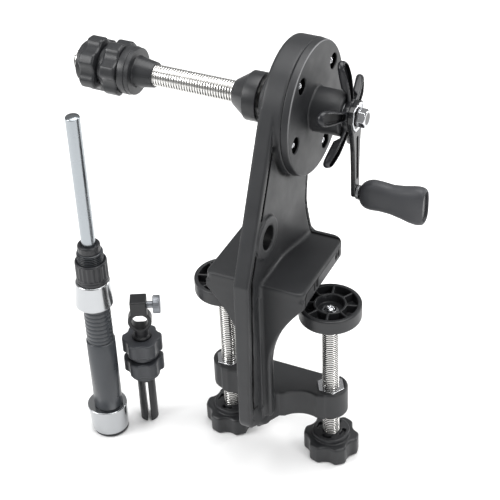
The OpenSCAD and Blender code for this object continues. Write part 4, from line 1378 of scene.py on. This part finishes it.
@dataclass
class RodHandle(Accessory):
    """Rod handle with its reel seat, hoods, fluted nut and telescoping tube."""

    at: Pair = (-121.7, -43.5)
    top: float = 272.3
    seat_bore: float = 9.45
    barrel: Pair = (83.6, 115.8)
    rings: int = 9
    ring_crest: float = 9.8
    ring_deep: float = 0.55
    thread: Pair = (116.2, 161.5)
    crest: float = 9.4
    pitch: float = 1.5
    thread_deep: float = 0.45

    @staticmethod
    def hood(ring: Pair, bulge: Pair, high: float, bore: float) -> Surface:
        """Polished cup: a tapered ring with a bulge set off to one side, which takes a reel's foot.

        Args:
            ring: Radius of the ring at the foot and at the top.
            bulge: Radius of the bulge at the foot and at the top.
            high: Height.
            bore: Radius of the bore.

        Returns:
            The surface about the Z axis.
        """
        off = 1.4

        def shape(p: Point) -> Array:
            """The whole cup.

            Args:
                p: The point.

            Returns:
                Signed distance.
            """
            rho, share = np.hypot(p[0], p[1]), p[2] / high
            cup = rho - (ring[0] + (ring[1] - ring[0]) * share)
            side = np.hypot(p[0] + off, p[1]) - (bulge[0] + (bulge[1] - bulge[0]) * share)
            return cut(both(fillet(cup, side, 1.5), span(p[2], 0, high), 0.8), rho - bore, 0.3)

        wide = max(*ring, bulge[0] + off, bulge[1] + off)
        return net(shape, (-wide, -wide, 0), (wide, wide, high), 0.7)

    def seat(self) -> Surface:
        """Grip, ringed barrel and threaded end in one turned piece.

        The barrel has rounded rings, r = crest - depth * (1 - |sin(pi * z / spacing)| ** 0.8), and the
        thread runs over the last stretch with r = crest - depth * wave.

        Returns:
            The surface about the Z axis.
        """
        angle = np.linspace(0, TURN, 72, endpoint=False)[None, :]
        grip = [(22.0, 9.35), (22.0, 10.3), (22.3, 10.5), (82.9, 10.5), (83.2, 10.3)]
        foot = np.array([(0, 9.35), *grip, (83.2, self.ring_crest)])
        (start, stop), (low, high) = self.barrel, self.thread
        ring_z, top_z = np.linspace(start, stop, 210), np.linspace(low, high, 370)
        swell = np.abs(np.sin(math.pi * (ring_z - start) / (stop - start) * self.rings)) ** 0.8
        ring = self.ring_crest - self.ring_deep * (1 - swell)
        z = np.concatenate([foot[:, 0], ring_z, top_z, [high + 0.4]])[:, None] * np.ones_like(angle)
        rad = np.concatenate([foot[:, 1], ring, np.full_like(top_z, self.crest), [8.7]])[:, None]
        wave = thread_wave(z, angle, self.pitch, 1.4, 0.2) * ((z > low + 0.3) & (z < high + 0.1))
        seat = tube_grid(rad - self.thread_deep * wave, z, angle)
        # Painted shade in the thread's roots
        seat.groove = np.append(np.sqrt(wave.ravel()), [0, 0])
        return seat

    def build(self) -> None:
        """Makes the handle."""
        bead = [(11.0, 0), (11.4, 0.4), (11.4, 2.4), (11.0, 2.7), (11.0, 3.1), (11.4, 3.4)]
        fluted = [(11.4, 4.4), (11.4, 5.0), (11.4, 9.0), (11.4, 16.0), (11.4, 16.6), (10.8, 17.6)]
        collar = [(7.7, 0), (8.1, 0.5), (8.1, 5.0), (7.5, 6.0)]
        tube = [(4.8, 104.5), (5.0, 104.8), (5.0, self.top - 0.5), (4.6, self.top)]
        cap, bore = [(11.6, 0), (13.0, 0.8), (13.0, 2.0), (12.4, 2.6)], self.seat_bore
        nut = turned(bead + fluted, 200, 0.3, ribs(20, 0.6, 4.4, 16.6, 0.7), bore)
        sleeve = turned(collar, 96, 0.3, ribs(16, 0.3, 0.8, 5.0), 5.05)
        for node, body, z, surface in (
            ("handle_end_cap", "handle", 0, turned(cap, 72, 0.5)),
            ("reel_seat", "handle", 2.6, self.seat()),
            ("fixed_hood", "handle", 2.6, self.hood((13.05, 13.4), (12.35, 14.45), 22.0, 9.4)),
            ("moving_hood", "moving_hood", 118.9, self.hood((12.5, 11.8), (13.2, 11.1), 20.4, bore)),
            ("reel_seat_nut", "reel_seat_nut", 139.6, nut),
            ("locking_collar", "locking_collar", 164.65, sleeve),
            ("handle_tube", "handle_tube", 0, turned(tube, 48, 0.3)),
        ):
            self.put(surface.moved(self.up(z)), node, body)


@dataclass
class RodAdapter(Accessory):
    """Split shank with two lobed nuts, a ring for the rod and a thumbscrew."""

    at: Pair = (-100.4, -21.9)
    high: float = 113.1
    ring_z: float = 94.1
    ring_r: float = 8.7
    ring_bore: float = 6.0
    shank_r: float = 6.6
    shank_top: float = 79.9
    split_half: float = 1.3
    split_top: float = 38.5
    neck_r: float = 5.2
    block_half: float = 6.0
    block_low: float = 101.1
    nut_r: float = 14.7
    nut_high: float = 16.7
    screw_drop: float = 6.0

    def body(self, p: Point) -> Array:
        """Shank, neck, ring and block, standing on local Z with the ring's bore along Y.

        Args:
            p: The point.

        Returns:
            Signed distance.
        """
        x, y, z = p
        rho, eye = np.hypot(x, y), np.hypot(x, z - self.ring_z)
        split = both(np.abs(x) - self.split_half, z - self.split_top)
        shank = cut(both(rho - self.shank_r, span(z, 0, self.shank_top), 0.6), split, 0.4)
        neck = both(rho - self.neck_r, span(z, 70, 88.1), 0.5)
        block = rounded_rect(x, y, self.block_half, self.block_half, 1.0)
        block = both(block, span(z, self.block_low, self.high), 0.8)
        head = fillet(both(eye - self.ring_r, np.abs(y) - 4.0, 0.6), block, 1.5)
        shape = cut(fillet(fillet(shank, neck, 1.0), head, 1.5), eye - self.ring_bore, 0.4)
        return cut(shape, both(np.hypot(y, z - self.high + self.screw_drop) - 2.55, -x))

    def build(self) -> None:
        """Makes the adapter."""
        wide, thick = self.ring_r, self.shank_r
        body = net(self.body, (-wide, -thick, 0), (wide, thick, self.high), 0.5)
        self.put(body.moved(self.up(0)), "adapter_body", "adapter")
        r, top = self.nut_r, self.nut_high
        shape = Lobed(r, 2.0, 6.5, 1.2, 5.0, top, 1.0).nut((11.2, 0.0, 8.0, 0.6), 0.6, (6.65, 0.4))
        nut = net(shape, (-r, -r, 0), (r, r, top), 0.6)
        for node, z in (("adapter_lower_nut", 43.5), ("adapter_upper_nut", 61.4)):
            self.put(nut.moved(self.up(z)), node, node)
        knurled = [(6.3, 10.1), (6.7, 10.6), (6.7, 15.0), (6.2, 15.5)]
        screw = turned([(2.3, 0), (2.5, 0.3), (2.5, 10.1), *knurled], 120, 0.25, ribs(36, 0.3, 10.6, 15.0))
        place = self.up(self.high - self.screw_drop) @ laid(0.3, 0, 0)
        self.put(screw.moved(place), "thumbscrew", "thumbscrew")


class Inside(Assembly):
    """Pieces out of sight that keep their CAD shape and get a finish and rounded edges."""

    NODES = (
        "spool_side_bearing", "friction_washers", "pressure_plate", "spring_washers", "clamp_nuts",
        "drag_disc", "knob_pin",
    )
    EDGE, SHARPEST, WELD = 0.2 * MM, math.radians(35), 1e-6

    def dress(self, nodes: dict[str, bpy.types.Object]) -> None:
        """Rounds the edges and sets the finish of each piece.

        Args:
            nodes: CAD node objects by name.
        """
        for name in self.NODES:
            obj = nodes[name]
            obj.modifiers.new("weld", "WELD").merge_threshold = self.WELD
            bevel = obj.modifiers.new("bevel", "BEVEL")
            bevel.width, bevel.segments, bevel.limit_method = self.EDGE, 2, "ANGLE"
            bevel.angle_limit = self.SHARPEST
            obj.modifiers.new("normals", "WEIGHTED_NORMAL").keep_sharp = True
            self.looks.dress(obj, name)


@dataclass
class Studio:
    """Pale floor, soft lights and the camera at the photograph's angle; lights are in metres and watts."""

    floor_z: float = -154.05
    floor_half: float = 1250.0
    paper: float = 0.96
    fill: float = 0.34
    eye: Triple = (350.5, -726.5, 609.4)
    turn: float = 0.471
    tilt: float = 0.634
    roll: float = -0.048
    focal: float = 106.1
    aim: Triple = (0.0, 0.0, -0.02)
    lights: tuple[tuple[str, Triple, float, float], ...] = (
        ("top", (0.1, 0.35, 1.9), 1.8, 47.0),
        ("key", (-1.3, -1.1, 1.1), 0.9, 26.0),
        ("edge", (1.2, 1.5, 0.65), 0.5, 11.0),
        ("side", (1.55, -0.62, 0.98), 0.45, 9.0),
    )

    def camera(self) -> None:
        """Sets the camera from its calibrated turn about Z, tilt below the horizon and roll."""
        cam = bpy.data.cameras.new("camera")
        cam.lens, cam.sensor_width, cam.clip_start, cam.clip_end = self.focal, 36.0, 0.05, 20.0
        obj = linked("camera", cam)
        obj.matrix_world = Matrix.Translation(Vector(self.eye) * MM) @ Matrix.Rotation(self.turn, 4, "Z")
        obj.matrix_world @= Matrix.Rotation(TURN / 4 - self.tilt, 4, "X") @ Matrix.Rotation(self.roll, 4, "Z")
        bpy.context.scene.camera = obj

    def floor(self) -> None:
        """Lays a plain pale floor that reads as white and keeps the object's shadow."""
        r, z = self.floor_half, self.floor_z
        verts = np.array([[-r, -r, z], [r, -r, z], [r, r, z], [-r, r, z]])
        obj = Surface(verts, np.array([[0, 1, 2, 3]])).make("floor")
        mat = bpy.data.materials.new("floor_paper")
        tree = cleared(mat)
        paper = add(tree, "BsdfPrincipled", Base_Color=(self.paper,) * 3 + (1,), Roughness=1.0, IOR=1.3)
        add(tree, "OutputMaterial", Surface=paper.outputs[0])
        obj.data.materials.append(mat)

    def rig(self) -> None:
        """Adds the square soft lights, all pointing at the object."""
        for name, at, size, power in self.lights:
            data = bpy.data.lights.new(name, "AREA")
            data.shape, data.size, data.energy = "SQUARE", size, power
            turn = (Vector(self.aim) - Vector(at)).to_track_quat("-Z", "Y").to_matrix().to_4x4()
            linked(name, data).matrix_world = Matrix.Translation(at) @ turn

    def world(self) -> None:
        """Fills the surroundings with even light, white where the camera looks past the floor."""
        world = bpy.data.worlds.new("studio")
        tree = cleared(world)
        seen = add(tree, "LightPath").outputs["Is Camera Ray"]
        fill = add(tree, "Background", Color=(1, 1, 1, 1), Strength=self.fill).outputs[0]
        white = add(tree, "Background", Color=(1, 1, 1, 1), Strength=1.0).outputs[0]
        mix = add(tree, "MixShader", i0=seen, i1=fill, i2=white)
        add(tree, "OutputWorld", Surface=mix.outputs[0])
        bpy.context.scene.world = world

    def build(self) -> None:
        """Sets up the studio."""
        self.camera()
        self.floor()
        self.world()
        self.rig()
        bpy.context.scene.view_settings.view_transform = "Standard"


def main(frame: dict) -> None:
    """Builds everything.

    Args:
        frame: The loaded CAD frame.
    """
    looks = Looks(frame["record"])
    for part in (Stand, Head, Drive, SpoolClamp, TableClamp, RodHandle, RodAdapter):
        part(looks).build()
    Inside(looks).dress(frame["nodes"])
    Studio().build()


if __name__ == "__main__":
    logging.basicConfig(level=logging.INFO)
    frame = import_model()
    main(frame)
